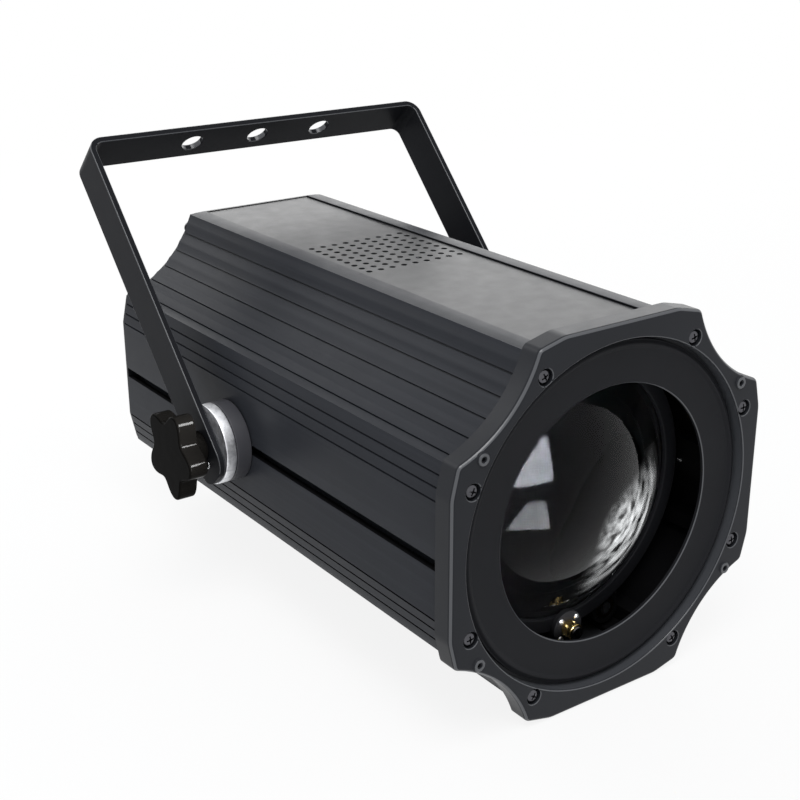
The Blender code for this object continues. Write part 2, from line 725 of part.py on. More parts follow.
def make_front_bezel():
    mesh = flat_mesh("front_bezel", [bezel_outline()], BEZEL_DEPTH)
    obj = place("front_bezel", mesh, painted(), (0, BEZEL_DEPTH / 2, 0), FACE_FRONT)
    solid = bmesh.new()
    solid.from_mesh(mesh)
    weight = solid.edges.layers.float.new("bevel_weight_edge")
    for edge in solid.edges:
        on_front = all(vert.co.z > BEZEL_DEPTH / 2 - SEAT for vert in edge.verts)
        edge[weight] = 1.0 if on_front and edge.calc_face_angle(0) > 1 else 0.0
    solid.to_mesh(mesh)
    solid.free()
    rounding = obj.modifiers.new("front_edge", "BEVEL")
    rounding.width = BEZEL_EDGE
    rounding.segments = 2
    rounding.limit_method = "WEIGHT"
    boss_places = quarters(BOSS_ACROSS, BOSS_UP)
    bosses = cylinder_mesh(
        "bosses", BOSS_RADIUS, -BOSS_HEIGHT * 3, BOSS_HEIGHT, ROUND_SMALL, boss_places, BOSS_TOP_RADIUS
    )
    combine(obj, bosses, "UNION", rotation=FACE_FRONT)
    over = BEZEL_DEPTH
    recess = cylinder_mesh("recess", RECESS_RADIUS, -RECESS_DEPTH, over, ROUND_LARGE)
    combine(obj, recess, rotation=FACE_FRONT)
    bore = cylinder_mesh("ledge_bore", LEDGE_RADIUS, -2 * BEZEL_DEPTH, over, ROUND_LARGE)
    combine(obj, bore, rotation=FACE_FRONT)
    counterbores = cylinder_mesh(
        "counterbores", COUNTERBORE_RADIUS, -COUNTERBORE_DEPTH, over, ROUND_SMALL, screw_places()
    )
    combine(obj, counterbores, rotation=FACE_FRONT)
    clearance = SCREW_SHANK_RADIUS + RUNNING
    through = -BEZEL_DEPTH - over
    shanks = cylinder_mesh("shank_holes", clearance, through, over, ROUND_SMALL // 2, screw_places())
    combine(obj, shanks, rotation=FACE_FRONT)
    centres = cylinder_mesh(
        "boss_holes", BOSS_HOLE_RADIUS, -BOSS_HOLE_DEPTH, over, ROUND_SMALL // 2, boss_places
    )
    combine(obj, centres, rotation=FACE_FRONT)


def pan_head_screw(
    name, location, rotation, head_radius, head_height, shank_radius, length, finish,
    recess=True, parent=None,
):
    """A pan head over a shank, its seat at the location and its head along its own z."""
    points = [
        (0, head_height),
        (head_radius * HEAD_CROWN, head_height * HEAD_CROWN_RISE),
        (head_radius, head_height * HEAD_RIM_RISE),
        (head_radius, 0),
        (shank_radius, 0),
        (shank_radius, -length),
        (0, -length),
    ]
    obj = turned(name, points, finish, location, rotation, ROUND_SCREW, parent=parent)
    if not recess:
        return
    arm = CROSS_SPAN / 2
    half = CROSS_WIDTH / 2
    low = head_height - CROSS_DEPTH
    high = head_height * 2
    for half_x, half_y in ((arm, half), (half, arm)):
        slot = box_mesh("cross_slot", (-half_x, -half_y, low), (half_x, half_y, high))
        combine(obj, slot, location=location, rotation=rotation)


def make_bezel_screws():
    for number, (x, z) in enumerate(screw_places(), 1):
        seat = (x, COUNTERBORE_DEPTH - SEAT, z)
        pan_head_screw(
            f"bezel_screw_{number}", seat, FACE_FRONT, SCREW_HEAD_RADIUS, SCREW_HEAD_HEIGHT,
            SCREW_SHANK_RADIUS, SCREW_LENGTH, black_steel(),
        )


def make_aperture_plate():
    ridge = [
        (PLATE_RIDGE_IN + across * PLATE_RIDGE_WIDTH, rise * PLATE_RIDGE_HEIGHT - PLATE_FRONT)
        for across, rise in PLATE_RIDGE_SHAPE
    ]
    points = [
        (APERTURE_RADIUS, -PLATE_BACK),
        (APERTURE_RADIUS, -PLATE_FRONT),
        *ridge,
        (PLATE_RIM_RADIUS, PLATE_RIDGE_HEIGHT * PLATE_RIM_RISE - PLATE_FRONT),
        (PLATE_RIM_RADIUS, -PLATE_BACK),
    ]
    turned("aperture_plate", points, matt_black(), (0, 0, 0), FACE_FRONT, ROUND_LARGE, ring=True)


def make_body():
    length = BODY_REAR - BODY_FRONT
    middle = (0, (BODY_REAR + BODY_FRONT) / 2, 0)
    loops = body_outline()
    place("body_right", flat_mesh("body_right", loops, length), painted(), middle, FACE_FRONT)
    loops = [mirrored_x(loop) for loop in loops]
    place("body_left", flat_mesh("body_left", loops, length), painted(), middle, FACE_FRONT)


def make_roof_and_floor():
    half = LIP_X - SEAT
    edge = [(-half, BODY_FRONT), (half, BODY_FRONT), (half, BODY_REAR), (-half, BODY_REAR)]
    middle = (VENT_COUNT - 1) / 2
    vents = [
        circle(VENT_RADIUS, VENT_SIDES, ((i - middle) * VENT_PITCH_X, VENT_FIRST_Y + j * VENT_PITCH_Y))
        for i in range(VENT_COUNT)
        for j in range(VENT_COUNT)
    ]
    offset = ROOF_Z - ROOF_THICKNESS / 2
    place("top_plate", flat_mesh("top_plate", [edge, *vents], ROOF_THICKNESS), painted(), (0, 0, offset))
    reach = middle * VENT_PITCH_X
    slots = []
    for number in range(VENT_COUNT):
        y = VENT_FIRST_Y + number * VENT_PITCH_Y
        near = y - VENT_RADIUS
        far = y + VENT_RADIUS
        slots.append([(-reach, near), (reach, near), (reach, far), (-reach, far)])
    floor = flat_mesh("bottom_plate", [edge, *slots], ROOF_THICKNESS)
    place("bottom_plate", floor, painted(), (0, 0, -offset))


def rear_screw_places():
    return quarters(SCREW_NEAR, SCREW_FAR)


def socket_places():
    """Each socket's name, place on the panel and bore."""
    return (
        ("data_in_socket", -SOCKET_X, DATA_Z, DATA_BORE_RADIUS),
        ("data_out_socket", SOCKET_X, DATA_Z, DATA_BORE_RADIUS),
        ("power_in_socket", -SOCKET_X, POWER_Z, POWER_BORE_RADIUS),
        ("power_out_socket", SOCKET_X, POWER_Z, POWER_BORE_RADIUS),
    )


def button_places():
    first = -(BUTTON_COUNT - 1) / 2 * BUTTON_PITCH
    return [(first + number * BUTTON_PITCH, BUTTON_Z) for number in range(BUTTON_COUNT)]


def window_outline(margin):
    half_x = WINDOW_HALF_WIDTH + margin
    half_z = WINDOW_HALF_HEIGHT + margin
    return [
        (-half_x, WINDOW_Z - half_z),
        (half_x, WINDOW_Z - half_z),
        (half_x, WINDOW_Z + half_z),
        (-half_x, WINDOW_Z + half_z),
    ]


def make_rear_panel():
    loops = [rear_outline(), window_outline(SEAT)]
    clearance = SCREW_SHANK_RADIUS + RUNNING
    loops += [circle(clearance, ROUND_SMALL // 2, centre) for centre in rear_screw_places()]
    loops += [circle(BUTTON_RADIUS + RUNNING, ROUND_SMALL, centre) for centre in button_places()]
    loops += [
        circle(SOCKET_BARREL_RADIUS + SEAT, ROUND_MEDIUM, (x, z)) for _, x, z, _ in socket_places()
    ]
    loops.append(circle(FUSE_BARREL_RADIUS + SEAT, ROUND_SMALL, (0, FUSE_Z)))
    mesh = flat_mesh("rear_panel", loops, REAR_THICKNESS)
    place("rear_panel", mesh, painted(), (0, BODY_LENGTH - REAR_THICKNESS / 2, 0), FACE_FRONT)
    back = (-pi / 2, 0, 0)
    for number, (x, z) in enumerate(rear_screw_places(), 1):
        pan_head_screw(
            f"rear_screw_{number}", (x, BODY_LENGTH + SEAT, z), back, SCREW_HEAD_RADIUS, SCREW_HEAD_HEIGHT,
            SCREW_SHANK_RADIUS, SCREW_LENGTH, black_steel(), recess=False,
        )


def make_sockets():
    """Flanged sockets in the rear panel, each a blind bore with its mouth to the rear."""
    back = (-pi / 2, 0, 0)
    for name, x, z, bore in socket_places():
        edge = [
            (-SOCKET_FLANGE_X, -SOCKET_FLANGE_Z),
            (SOCKET_FLANGE_X, -SOCKET_FLANGE_Z),
            (SOCKET_FLANGE_X, SOCKET_FLANGE_Z),
            (-SOCKET_FLANGE_X, SOCKET_FLANGE_Z),
        ]
        seat = BODY_LENGTH + SEAT
        middle = (x, seat + SOCKET_FLANGE_THICKNESS / 2, z)
        mesh = flat_mesh(name, [edge], SOCKET_FLANGE_THICKNESS)
        obj = place(name, mesh, matt_black(), middle, back)
        inside = SOCKET_FLANGE_THICKNESS / 2
        barrel = cylinder_mesh("barrel", SOCKET_BARREL_RADIUS, -SOCKET_BARREL_LENGTH, inside, ROUND_MEDIUM)
        combine(obj, barrel, "UNION", (x, seat, z), back)
        mouth = SOCKET_FLANGE_THICKNESS * 2
        hollow = cylinder_mesh("socket_bore", bore, -SOCKET_BORE_DEPTH, mouth, ROUND_MEDIUM)
        combine(obj, hollow, location=(x, seat, z), rotation=back)


def make_fuse_holder():
    points = [
        (0, FUSE_CAP_PROUD),
        (FUSE_CAP_RADIUS - FUSE_CAP_EDGE, FUSE_CAP_PROUD),
        (FUSE_CAP_RADIUS, FUSE_CAP_PROUD - FUSE_CAP_EDGE),
        (FUSE_CAP_RADIUS, 0),
        (FUSE_BARREL_RADIUS, 0),
        (FUSE_BARREL_RADIUS, -FUSE_BARREL_LENGTH),
        (0, -FUSE_BARREL_LENGTH),
    ]
    seat = (0, BODY_LENGTH + SEAT, FUSE_Z)
    turned("fuse_holder", points, matt_black(), seat, (-pi / 2, 0, 0), ROUND_MEDIUM)


def make_controls():
    """The control board with its display and switches, the window over it and the push buttons."""
    low = (-BOARD_HALF_WIDTH, BOARD_REAR - BOARD_THICKNESS, BOARD_BOTTOM)
    high = (BOARD_HALF_WIDTH, BOARD_REAR, BOARD_TOP)
    board = place("control_board", box_mesh("control_board", low, high), circuit())
    sunk = BOARD_THICKNESS / 2
    half_x = WINDOW_HALF_WIDTH + DISPLAY_MARGIN
    half_z = WINDOW_HALF_HEIGHT + DISPLAY_MARGIN
    display = box_mesh(
        "display",
        (-half_x, BOARD_REAR - sunk, WINDOW_Z - half_z),
        (half_x, BOARD_REAR + DISPLAY_DEPTH, WINDOW_Z + half_z),
    )
    combine(board, display, "UNION")
    button_in = REAR_INNER - SEAT - BUTTON_FLANGE_THICKNESS
    switch_top = button_in - BUTTON_TRAVEL - SEAT
    for x, z in button_places():
        switch = box_mesh(
            "switch",
            (x - SWITCH_HALF, BOARD_REAR - sunk, z - SWITCH_HALF),
            (x + SWITCH_HALF, switch_top, z + SWITCH_HALF),
        )
        combine(board, switch, "UNION")
    for x in (-1, 1):
        for z in (BOARD_BOTTOM, BOARD_TOP):
            inward = SWITCH_HALF if z == BOARD_BOTTOM else -SWITCH_HALF
            spacer = cylinder_mesh("spacer", SWITCH_HALF, -sunk, BOARD_SETBACK - SEAT, ROUND_SMALL)
            centre = (x * (BOARD_HALF_WIDTH - SWITCH_HALF * 2), BOARD_REAR, z + inward * 2)
            combine(board, spacer, "UNION", centre, (-pi / 2, 0, 0))

    outer = BODY_LENGTH
    mesh = flat_mesh("display_window", [window_outline(0)], WINDOW_THICKNESS)
    place("display_window", mesh, gloss_black(), (0, outer - WINDOW_THICKNESS / 2, 0), FACE_FRONT)

    proud = outer + BUTTON_PROUD - REAR_INNER
    points = [
        (0, proud),
        (BUTTON_RADIUS - BUTTON_EDGE, proud),
        (BUTTON_RADIUS, proud - BUTTON_EDGE_DROP),
        (BUTTON_RADIUS, -SEAT),
        (BUTTON_FLANGE_RADIUS, -SEAT),
        (BUTTON_FLANGE_RADIUS, -SEAT - BUTTON_FLANGE_THICKNESS),
        (0, -SEAT - BUTTON_FLANGE_THICKNESS),
    ]
    for number, (x, z) in enumerate(button_places(), 1):
        turned(f"button_{number}", points, matt_black(), (x, REAR_INNER, z), (-pi / 2, 0, 0), ROUND_SMALL)


def yoke_outline():
    """The U of the yoke seen along the arms' width: x across, y up from the pivot."""
    corner = YOKE_OUTER - YOKE_BEND
    level = YOKE_REACH - YOKE_BEND
    tight = YOKE_BEND - YOKE_THICKNESS
    turns = [pi / 2 * i / YOKE_BEND_STEPS for i in range(YOKE_BEND_STEPS + 1)]
    outer = [(corner + YOKE_BEND * cos(turn), level + YOKE_BEND * sin(turn)) for turn in turns]
    inside = [(corner + tight * cos(turn), level + tight * sin(turn)) for turn in turns]
    right = [(YOKE_OUTER, -YOKE_TAIL), *outer]
    right_inside = [(ARM_IN, -YOKE_TAIL), *inside]
    inner = mirrored_x(right_inside)
    return right + mirrored_x(right) + list(reversed(inner)) + list(reversed(right_inside))


def arm_end_cutter():
    """What is cut away so that both arms end in rounded corners: u-shaped, in y and z."""
    half = YOKE_WIDTH / 2
    over = YOKE_END_ROUND
    flat = half - YOKE_END_ROUND
    level = -YOKE_TAIL + YOKE_END_ROUND
    rounds = [pi + pi / 2 * i / YOKE_BEND_STEPS for i in range(YOKE_BEND_STEPS + 1)]
    left = [(-flat + YOKE_END_ROUND * cos(t), level + YOKE_END_ROUND * sin(t)) for t in rounds]
    right = [(-x, z) for x, z in reversed(left)]
    outside = [
        (half + over, level),
        (half + over, -YOKE_TAIL - over),
        (-half - over, -YOKE_TAIL - over),
        (-half - over, level),
    ]
    return left + right + outside


def make_yoke():
    mesh = flat_mesh("yoke", [yoke_outline()], YOKE_WIDTH)
    yoke = place("yoke", mesh, painted(), rotation=FACE_FRONT, parent=YOKE_PIVOT)
    bevel(yoke, YOKE_EDGE)
    across = 2 * YOKE_OUTER + YOKE_THICKNESS
    ends = flat_mesh("arm_ends", [arm_end_cutter()], across)
    combine(yoke, ends, rotation=SIDE_VIEW)
    pivots = cylinder_mesh("pivot_holes", STUD_HOLE_RADIUS, -across / 2, across / 2, ROUND_SMALL)
    combine(yoke, pivots, rotation=(0, pi / 2, 0))
    centres = [(number * YOKE_HOLE_PITCH, 0.0) for number in (-1, 0, 1)]
    low = YOKE_REACH - YOKE_THICKNESS * 2
    high = YOKE_REACH + YOKE_THICKNESS
    holes = cylinder_mesh("bar_holes", YOKE_HOLE_RADIUS, low, high, ROUND_MEDIUM, centres)
    combine(yoke, holes)
    clearance = DISC_SCREW_SHANK_RADIUS + RUNNING
    screws = cylinder_mesh("disc_screw_holes", clearance, -across / 2, across / 2, ROUND_SMALL // 2)
    combine(yoke, screws, location=(0, 0, -DISC_SCREW_OUT), rotation=(0, pi / 2, 0))


def star_outline():
    """Five rounded lobes, the first straight up before it is turned by the knob's phase."""
    middle = (KNOB_RADIUS + KNOB_WAIST) / 2
    swing = (KNOB_RADIUS - KNOB_WAIST) / 2
    sides = KNOB_LOBES * KNOB_LOBE_STEPS
    outline = []
    for i in range(sides):
        turn = 2 * pi * i / sides
        reach = middle + swing * cos(KNOB_LOBES * (turn - pi / 2))
        outline.append((reach * cos(turn), reach * sin(turn)))
    return outline


def make_knob(name, side):
    """A star knob with a moulded hub, screwed on the stud that comes through the arm."""
    outward = (0, side * pi / 2, 0)
    centre = (side * (KNOB_IN + KNOB_HUB_LENGTH + KNOB_THICKNESS / 2), PIVOT_Y, SLOT_Z)
    star = flat_mesh(name, [star_outline()], KNOB_THICKNESS)
    # The star's plane faces outwards; its phase turns it about the pivot, towards the rear
    turn = Matrix.Rotation(side * pi / 2, 3, "Y") @ Matrix.Rotation(-pi / 2, 3, "Z")
    if side < 0:
        turn = Matrix.Rotation(-pi / 2, 3, "Y") @ Matrix.Rotation(pi / 2, 3, "Z")
    turn = Matrix.Rotation(-KNOB_PHASE, 3, "X") @ turn
    knob = place(name, star, gloss_black(), centre, turn.to_euler())
    bevel(knob, KNOB_EDGE)
    hub = cylinder_mesh("hub", KNOB_HUB_RADIUS, 0, KNOB_HUB_LENGTH + KNOB_THICKNESS / 2, ROUND_MEDIUM)
    combine(knob, hub, "UNION", (side * KNOB_IN, PIVOT_Y, SLOT_Z), outward)
    depth = KNOB_HUB_LENGTH + KNOB_THICKNESS / 2
    bore = cylinder_mesh("knob_bore", STUD_HOLE_RADIUS, -depth, depth, ROUND_SMALL)
    combine(knob, bore, location=(side * KNOB_IN, PIVOT_Y, SLOT_Z), rotation=outward)


def ring_mesh_profile(inner, outer, bottom, top, edge):
    """A flat ring's section, with its outer edges eased."""
    return [
        (inner, bottom),
        (inner, top),
        (outer - edge, top),
        (outer, top - edge),
        (outer, bottom + edge),
        (outer - edge, bottom),
    ]


def make_pivot_side(name, side):
    """T-bolt in the body's slot, friction disc, clamp disc and its small screw, and knob."""
    outward = (0, side * pi / 2, 0)
    ring = ring_mesh_profile(STUD_HOLE_RADIUS, DISC_RADIUS, 0, FRICTION_DISC_THICKNESS, DISC_EDGE)
    turned(
        f"friction_disc_{name}", ring, matt_black(), (side * FRICTION_DISC_IN, PIVOT_Y, SLOT_Z), outward,
        ROUND_DISC, ring=True,
    )
    ring = ring_mesh_profile(STUD_HOLE_RADIUS, DISC_RADIUS, 0, CLAMP_DISC_THICKNESS, DISC_EDGE)
    disc = turned(
        f"clamp_disc_{name}", ring, aluminium(), (side * CLAMP_DISC_IN, 0, 0), outward,
        ROUND_DISC, ring=True, parent=YOKE_PIVOT,
    )
    reach = CLAMP_DISC_THICKNESS * 2
    clearance = DISC_SCREW_SHANK_RADIUS + RUNNING
    hole = cylinder_mesh("disc_screw_hole", clearance, -reach, reach, ROUND_SMALL // 2)
    combine(disc, hole, location=(side * ARM_IN, 0, -DISC_SCREW_OUT), rotation=outward)
    pan_head_screw(
        f"disc_screw_{name}", (side * (YOKE_OUTER + SEAT), 0, -DISC_SCREW_OUT), outward,
        DISC_SCREW_HEAD_RADIUS, DISC_SCREW_HEAD_HEIGHT, DISC_SCREW_SHANK_RADIUS,
        YOKE_THICKNESS + CLAMP_DISC_THICKNESS - DISC_SCREW_SHORT, steel(), recess=False, parent=YOKE_PIVOT,
    )
    head_half_z = SLOT_CAVITY_WIDTH / 2 - RUNNING
    head_out = SLOT_CAVITY_OUT - SEAT
    low_x = head_out - TBOLT_HEAD_THICKNESS
    if side > 0:
        span = (low_x, head_out)
    else:
        span = (-head_out, -low_x)
    half_y = TBOLT_HEAD_LENGTH / 2
    bolt = place(
        f"t_bolt_{name}",
        box_mesh("t_bolt", (span[0], -half_y, -head_half_z), (span[1], half_y, head_half_z)),
        steel(),
        (0, PIVOT_Y, SLOT_Z),
    )
    stud_end = KNOB_OUT - KNOB_THICKNESS / 2 - SEAT * 3
    stud = cylinder_mesh("stud", STUD_RADIUS, 0, stud_end - head_out + TBOLT_HEAD_THICKNESS / 2, ROUND_SMALL)
    start = side * (head_out - TBOLT_HEAD_THICKNESS / 2)
    combine(bolt, stud, "UNION", (start, PIVOT_Y, SLOT_Z), outward)
    make_knob(f"knob_{name}", side)


def make_lens():
    """A plano-convex lens, its dome to the front."""
    curvature = (DOME_RADIUS ** 2 + LENS_SAG ** 2) / (2 * LENS_SAG)
    half_angle = acos(1 - LENS_SAG / curvature)
    dome = []
    for i in range(LENS_RINGS + 1):
        angle = half_angle * i / LENS_RINGS
        dome.append((curvature * sin(angle), curvature * cos(angle) - curvature + LENS_SAG))
    points = dome + [(LENS_RADIUS, 0), (LENS_RADIUS, -LENS_EDGE), (0, -LENS_EDGE)]
    turned("lens", points, glass(), (0, 0, 0), FACE_FRONT, ROUND_LARGE, parent=LENS_SLIDE)


def ear_places():
    return [(-ROD_X, ROD_Z), (ROD_X, ROD_Z)]


def make_lens_carriage():
    """The cup that holds the lens, with ears for the rod bushings and for the lead nut."""
    depth = LENS_HOLDER_DEPTH
    seat = LENS_EDGE + SEAT
    points = [
        (LENS_RADIUS - LENS_SEAT_WIDTH, -depth),
        (LENS_RADIUS - LENS_SEAT_WIDTH, -seat),
        (LENS_RADIUS + SEAT, -seat),
        (LENS_RADIUS + SEAT, 0),
        (LENS_HOLDER_RADIUS, 0),
        (LENS_HOLDER_RADIUS, -depth),
    ]
    carriage = turned(
        "lens_carriage", points, matt_black(), (0, 0, 0), FACE_FRONT, ROUND_LARGE,
        ring=True, parent=LENS_SLIDE,
    )
    # The ears sit on the ring's underside and reach the rods
    inner = LENS_HOLDER_RADIUS - LENS_SEAT_WIDTH / 2
    for x, z in ear_places():
        direction = Vector((x, z)).normalized()
        start = direction * inner
        across = Vector((-direction.y, direction.x)) * EAR_RADIUS
        outer = Vector((x, z))
        edge = [start + across, start - across, outer - across, outer + across]
        ear = flat_mesh("ear", [[tuple(point) for point in edge]], EAR_DEPTH)
        combine(carriage, ear, "UNION", (0, EAR_DEPTH / 2 + SEAT, 0), FACE_FRONT)
        boss = cylinder_mesh("ear_boss", EAR_RADIUS, -EAR_DEPTH / 2, EAR_DEPTH / 2, ROUND_MEDIUM, ((x, z),))
        combine(carriage, boss, "UNION", (0, EAR_DEPTH / 2 + SEAT, 0), FACE_FRONT)
    fit = BUSHING_RADIUS + SEAT
    bores = cylinder_mesh("bushing_bores", fit, -depth * 2, depth * 2, ROUND_MEDIUM, ear_places())
    combine(carriage, bores, rotation=FACE_FRONT)
    half = NUT_FLANGE_RADIUS
    top = -inner
    bottom = NUT_Z - NUT_FLANGE_RADIUS
    tab = box_mesh("nut_tab", (-half, SEAT, bottom), (half, SEAT + EAR_DEPTH, top))
    combine(carriage, tab, "UNION")
    below_retainer = -LENS_HOLDER_RADIUS - SEAT
    nut_seat = RETAINER_FRONT - LENS_RIM_Y
    pad = box_mesh("nut_pad", (-half, nut_seat, bottom), (half, SEAT + EAR_DEPTH / 2, below_retainer))
    combine(carriage, pad, "UNION")
    clearance = SCREW_ROD_RADIUS + RUNNING
    through = cylinder_mesh("lead_screw_hole", clearance, -depth * 3, depth * 2, ROUND_SMALL, ((0, NUT_Z),))
    combine(carriage, through, rotation=FACE_FRONT)


def make_lens_retainer():
    inner = LENS_RADIUS - RETAINER_OVERLAP
    bottom = SEAT
    top = bottom + RETAINER_THICKNESS
    points = [
        (inner, bottom),
        (inner, top - RETAINER_THICKNESS / 2),
        (inner + RETAINER_THICKNESS / 2, top),
        (LENS_HOLDER_RADIUS, top),
        (LENS_HOLDER_RADIUS, bottom),
    ]
    retainer = turned(
        "lens_retainer", points, matt_black(), (0, 0, 0), FACE_FRONT, ROUND_LARGE,
        ring=True, parent=LENS_SLIDE,
    )
    notch = NUT_BARREL_RADIUS + RUNNING
    cut = cylinder_mesh("nut_notch", notch, 0, top * 2, ROUND_SMALL, ((0, NUT_Z),))
    combine(retainer, cut, rotation=FACE_FRONT)


def make_lead_nut():
    """The flanged brass nut, its barrel to the front."""
    back = NUT_BACK - LENS_RIM_Y
    barrel = NUT_FLANGE_THICKNESS + NUT_BARREL_LENGTH
    bore = SCREW_ROD_RADIUS + RUNNING
    points = [
        (bore, 0),
        (bore, barrel),
        (NUT_BARREL_RADIUS - NUT_EDGE, barrel),
        (NUT_BARREL_RADIUS, barrel - NUT_EDGE),
        (NUT_BARREL_RADIUS, NUT_FLANGE_THICKNESS),
        (NUT_FLANGE_RADIUS, NUT_FLANGE_THICKNESS),
        (NUT_FLANGE_RADIUS, 0),
    ]
    seat = (0, back, NUT_Z)
    turned("lead_nut", points, brass(), seat, FACE_FRONT, ROUND_MEDIUM, ring=True, parent=LENS_SLIDE)


def make_rods_and_bushings():
    for name, side in (("left", -1), ("right", 1)):
        bore = ROD_RADIUS + RUNNING
        ring = ring_mesh_profile(bore, BUSHING_RADIUS, -BUSHING_LENGTH, 0, ease_of(BUSHING_RADIUS))
        turned(
            f"bushing_{name}", ring, brass(), (side * ROD_X, SEAT, ROD_Z), FACE_FRONT,
            ROUND_MEDIUM, ring=True, parent=LENS_SLIDE,
        )
        end = BULKHEAD_Y - SEAT
        rod = cylinder_mesh("guide_rod", ROD_RADIUS, 0, end - LENS_RIM_Y, ROUND_SMALL)
        place(f"guide_rod_{name}", rod, steel(), (side * ROD_X, end, ROD_Z), FACE_FRONT)


def ease_of(radius):
    """A small edge break that grows with the piece."""
    return radius * 0.06


def make_lead_screw():
    end = MOTOR_FRONT - SEAT
    ease = ease_of(SCREW_ROD_RADIUS)
    length = end - NUT_TIP + SCREW_ROD_PROUD
    points = [
        (0, length),
        (SCREW_ROD_RADIUS - ease, length),
        (SCREW_ROD_RADIUS, length - ease),
        (SCREW_ROD_RADIUS, 0),
        (0, 0),
    ]
    turned("lead_screw", points, black_steel(), (0, end, NUT_Z), FACE_FRONT, ROUND_SMALL)


def make_bulkhead():
    """The plate across the body that carries the light engine, the rods and the zoom motor."""
    obj = place(
        "bulkhead",
        cylinder_mesh("bulkhead", BULKHEAD_RADIUS, -BULKHEAD_THICKNESS, 0, ROUND_LARGE),
        matt_black(),
        (0, BULKHEAD_Y, 0),
        FACE_FRONT,
    )
    outer = SLOT_BACK - SEAT
    middle = BULKHEAD_Y + BULKHEAD_THICKNESS / 2
    for side in (-1, 1):
        edges = sorted((side * outer, side * (BULKHEAD_RADIUS - BULKHEAD_EAR_DEPTH)))
        ear = box_mesh(
            "bulkhead_ear",
            (edges[0], middle, SLOT_Z - BULKHEAD_EAR_HALF),
            (edges[1], middle + BULKHEAD_EAR_DEPTH, SLOT_Z + BULKHEAD_EAR_HALF),
        )
        combine(obj, ear, "UNION")
    over = BULKHEAD_THICKNESS * 4
    window = cylinder_mesh("light_window", BULKHEAD_WINDOW, -over, over, ROUND_MEDIUM)
    combine(obj, window, location=(0, BULKHEAD_Y, 0), rotation=FACE_FRONT)
    clearance = SCREW_ROD_RADIUS + RUNNING
    screw = cylinder_mesh("screw_window", clearance, -over, over, ROUND_SMALL, ((0, NUT_Z),))
    combine(obj, screw, location=(0, BULKHEAD_Y, 0), rotation=FACE_FRONT)


def make_light_engine():
    """LED module on the heat sink's face, with a reflector in front and fins behind."""
    back = SINK_FRONT - SEAT
    front = back - LED_THICKNESS
    module = place(
        "led_module",
        box_mesh("led_module", (-LED_HALF, front, -LED_HALF), (LED_HALF, back, LED_HALF)),
        aluminium(),
    )
    glow = cylinder_mesh("led_face", LED_LENS_RADIUS, -LED_THICKNESS / 2, LED_LENS_HEIGHT, ROUND_MEDIUM)
    combine(module, glow, "UNION", (0, front, 0), FACE_FRONT)

    throat = REFLECTOR_THROAT
    mouth = REFLECTOR_MOUTH
    wall = REFLECTOR_WALL
    points = [
        (throat, 0),
        (mouth, REFLECTOR_LENGTH),
        (mouth + wall, REFLECTOR_LENGTH),
        (throat + wall * 2, REFLECTOR_FLANGE_THICKNESS),
        (REFLECTOR_FLANGE, REFLECTOR_FLANGE_THICKNESS),
        (REFLECTOR_FLANGE, 0),
    ]
    turned("reflector", points, aluminium(), (0, BULKHEAD_Y - SEAT, 0), FACE_FRONT, ROUND_MEDIUM, ring=True)

    gap = (2 * SINK_HALF_WIDTH - FIN_THICKNESS) / (FIN_COUNT - 1)
    comb = [(-SINK_HALF_WIDTH, SINK_FRONT), (SINK_HALF_WIDTH, SINK_FRONT)]
    root = SINK_FRONT + SINK_BASE
    for number in reversed(range(FIN_COUNT)):
        left = -SINK_HALF_WIDTH + number * gap
        right = left + FIN_THICKNESS
        fin = [(right, root), (right, SINK_BACK), (left, SINK_BACK), (left, root)]
        if number == FIN_COUNT - 1:
            fin = fin[1:]
        if number == 0:
            fin = fin[:-1]
        comb += fin
    mesh = flat_mesh("heat_sink", [comb], SINK_TOP - SINK_BOTTOM)
    place("heat_sink", mesh, aluminium(), (0, 0, (SINK_TOP + SINK_BOTTOM) / 2))


def make_zoom_motor():
    low = (-MOTOR_HALF, MOTOR_FRONT, NUT_Z - MOTOR_HALF)
    high = (MOTOR_HALF, MOTOR_FRONT + MOTOR_LENGTH, NUT_Z + MOTOR_HALF)
    motor = place("zoom_motor", box_mesh("zoom_motor", low, high), black_steel())
    bevel(motor, MOTOR_EDGE)


def fan_place():
    """The fan's centre, on its front face behind the heat sink."""
    return (0, FAN_FRONT, FAN_Z)


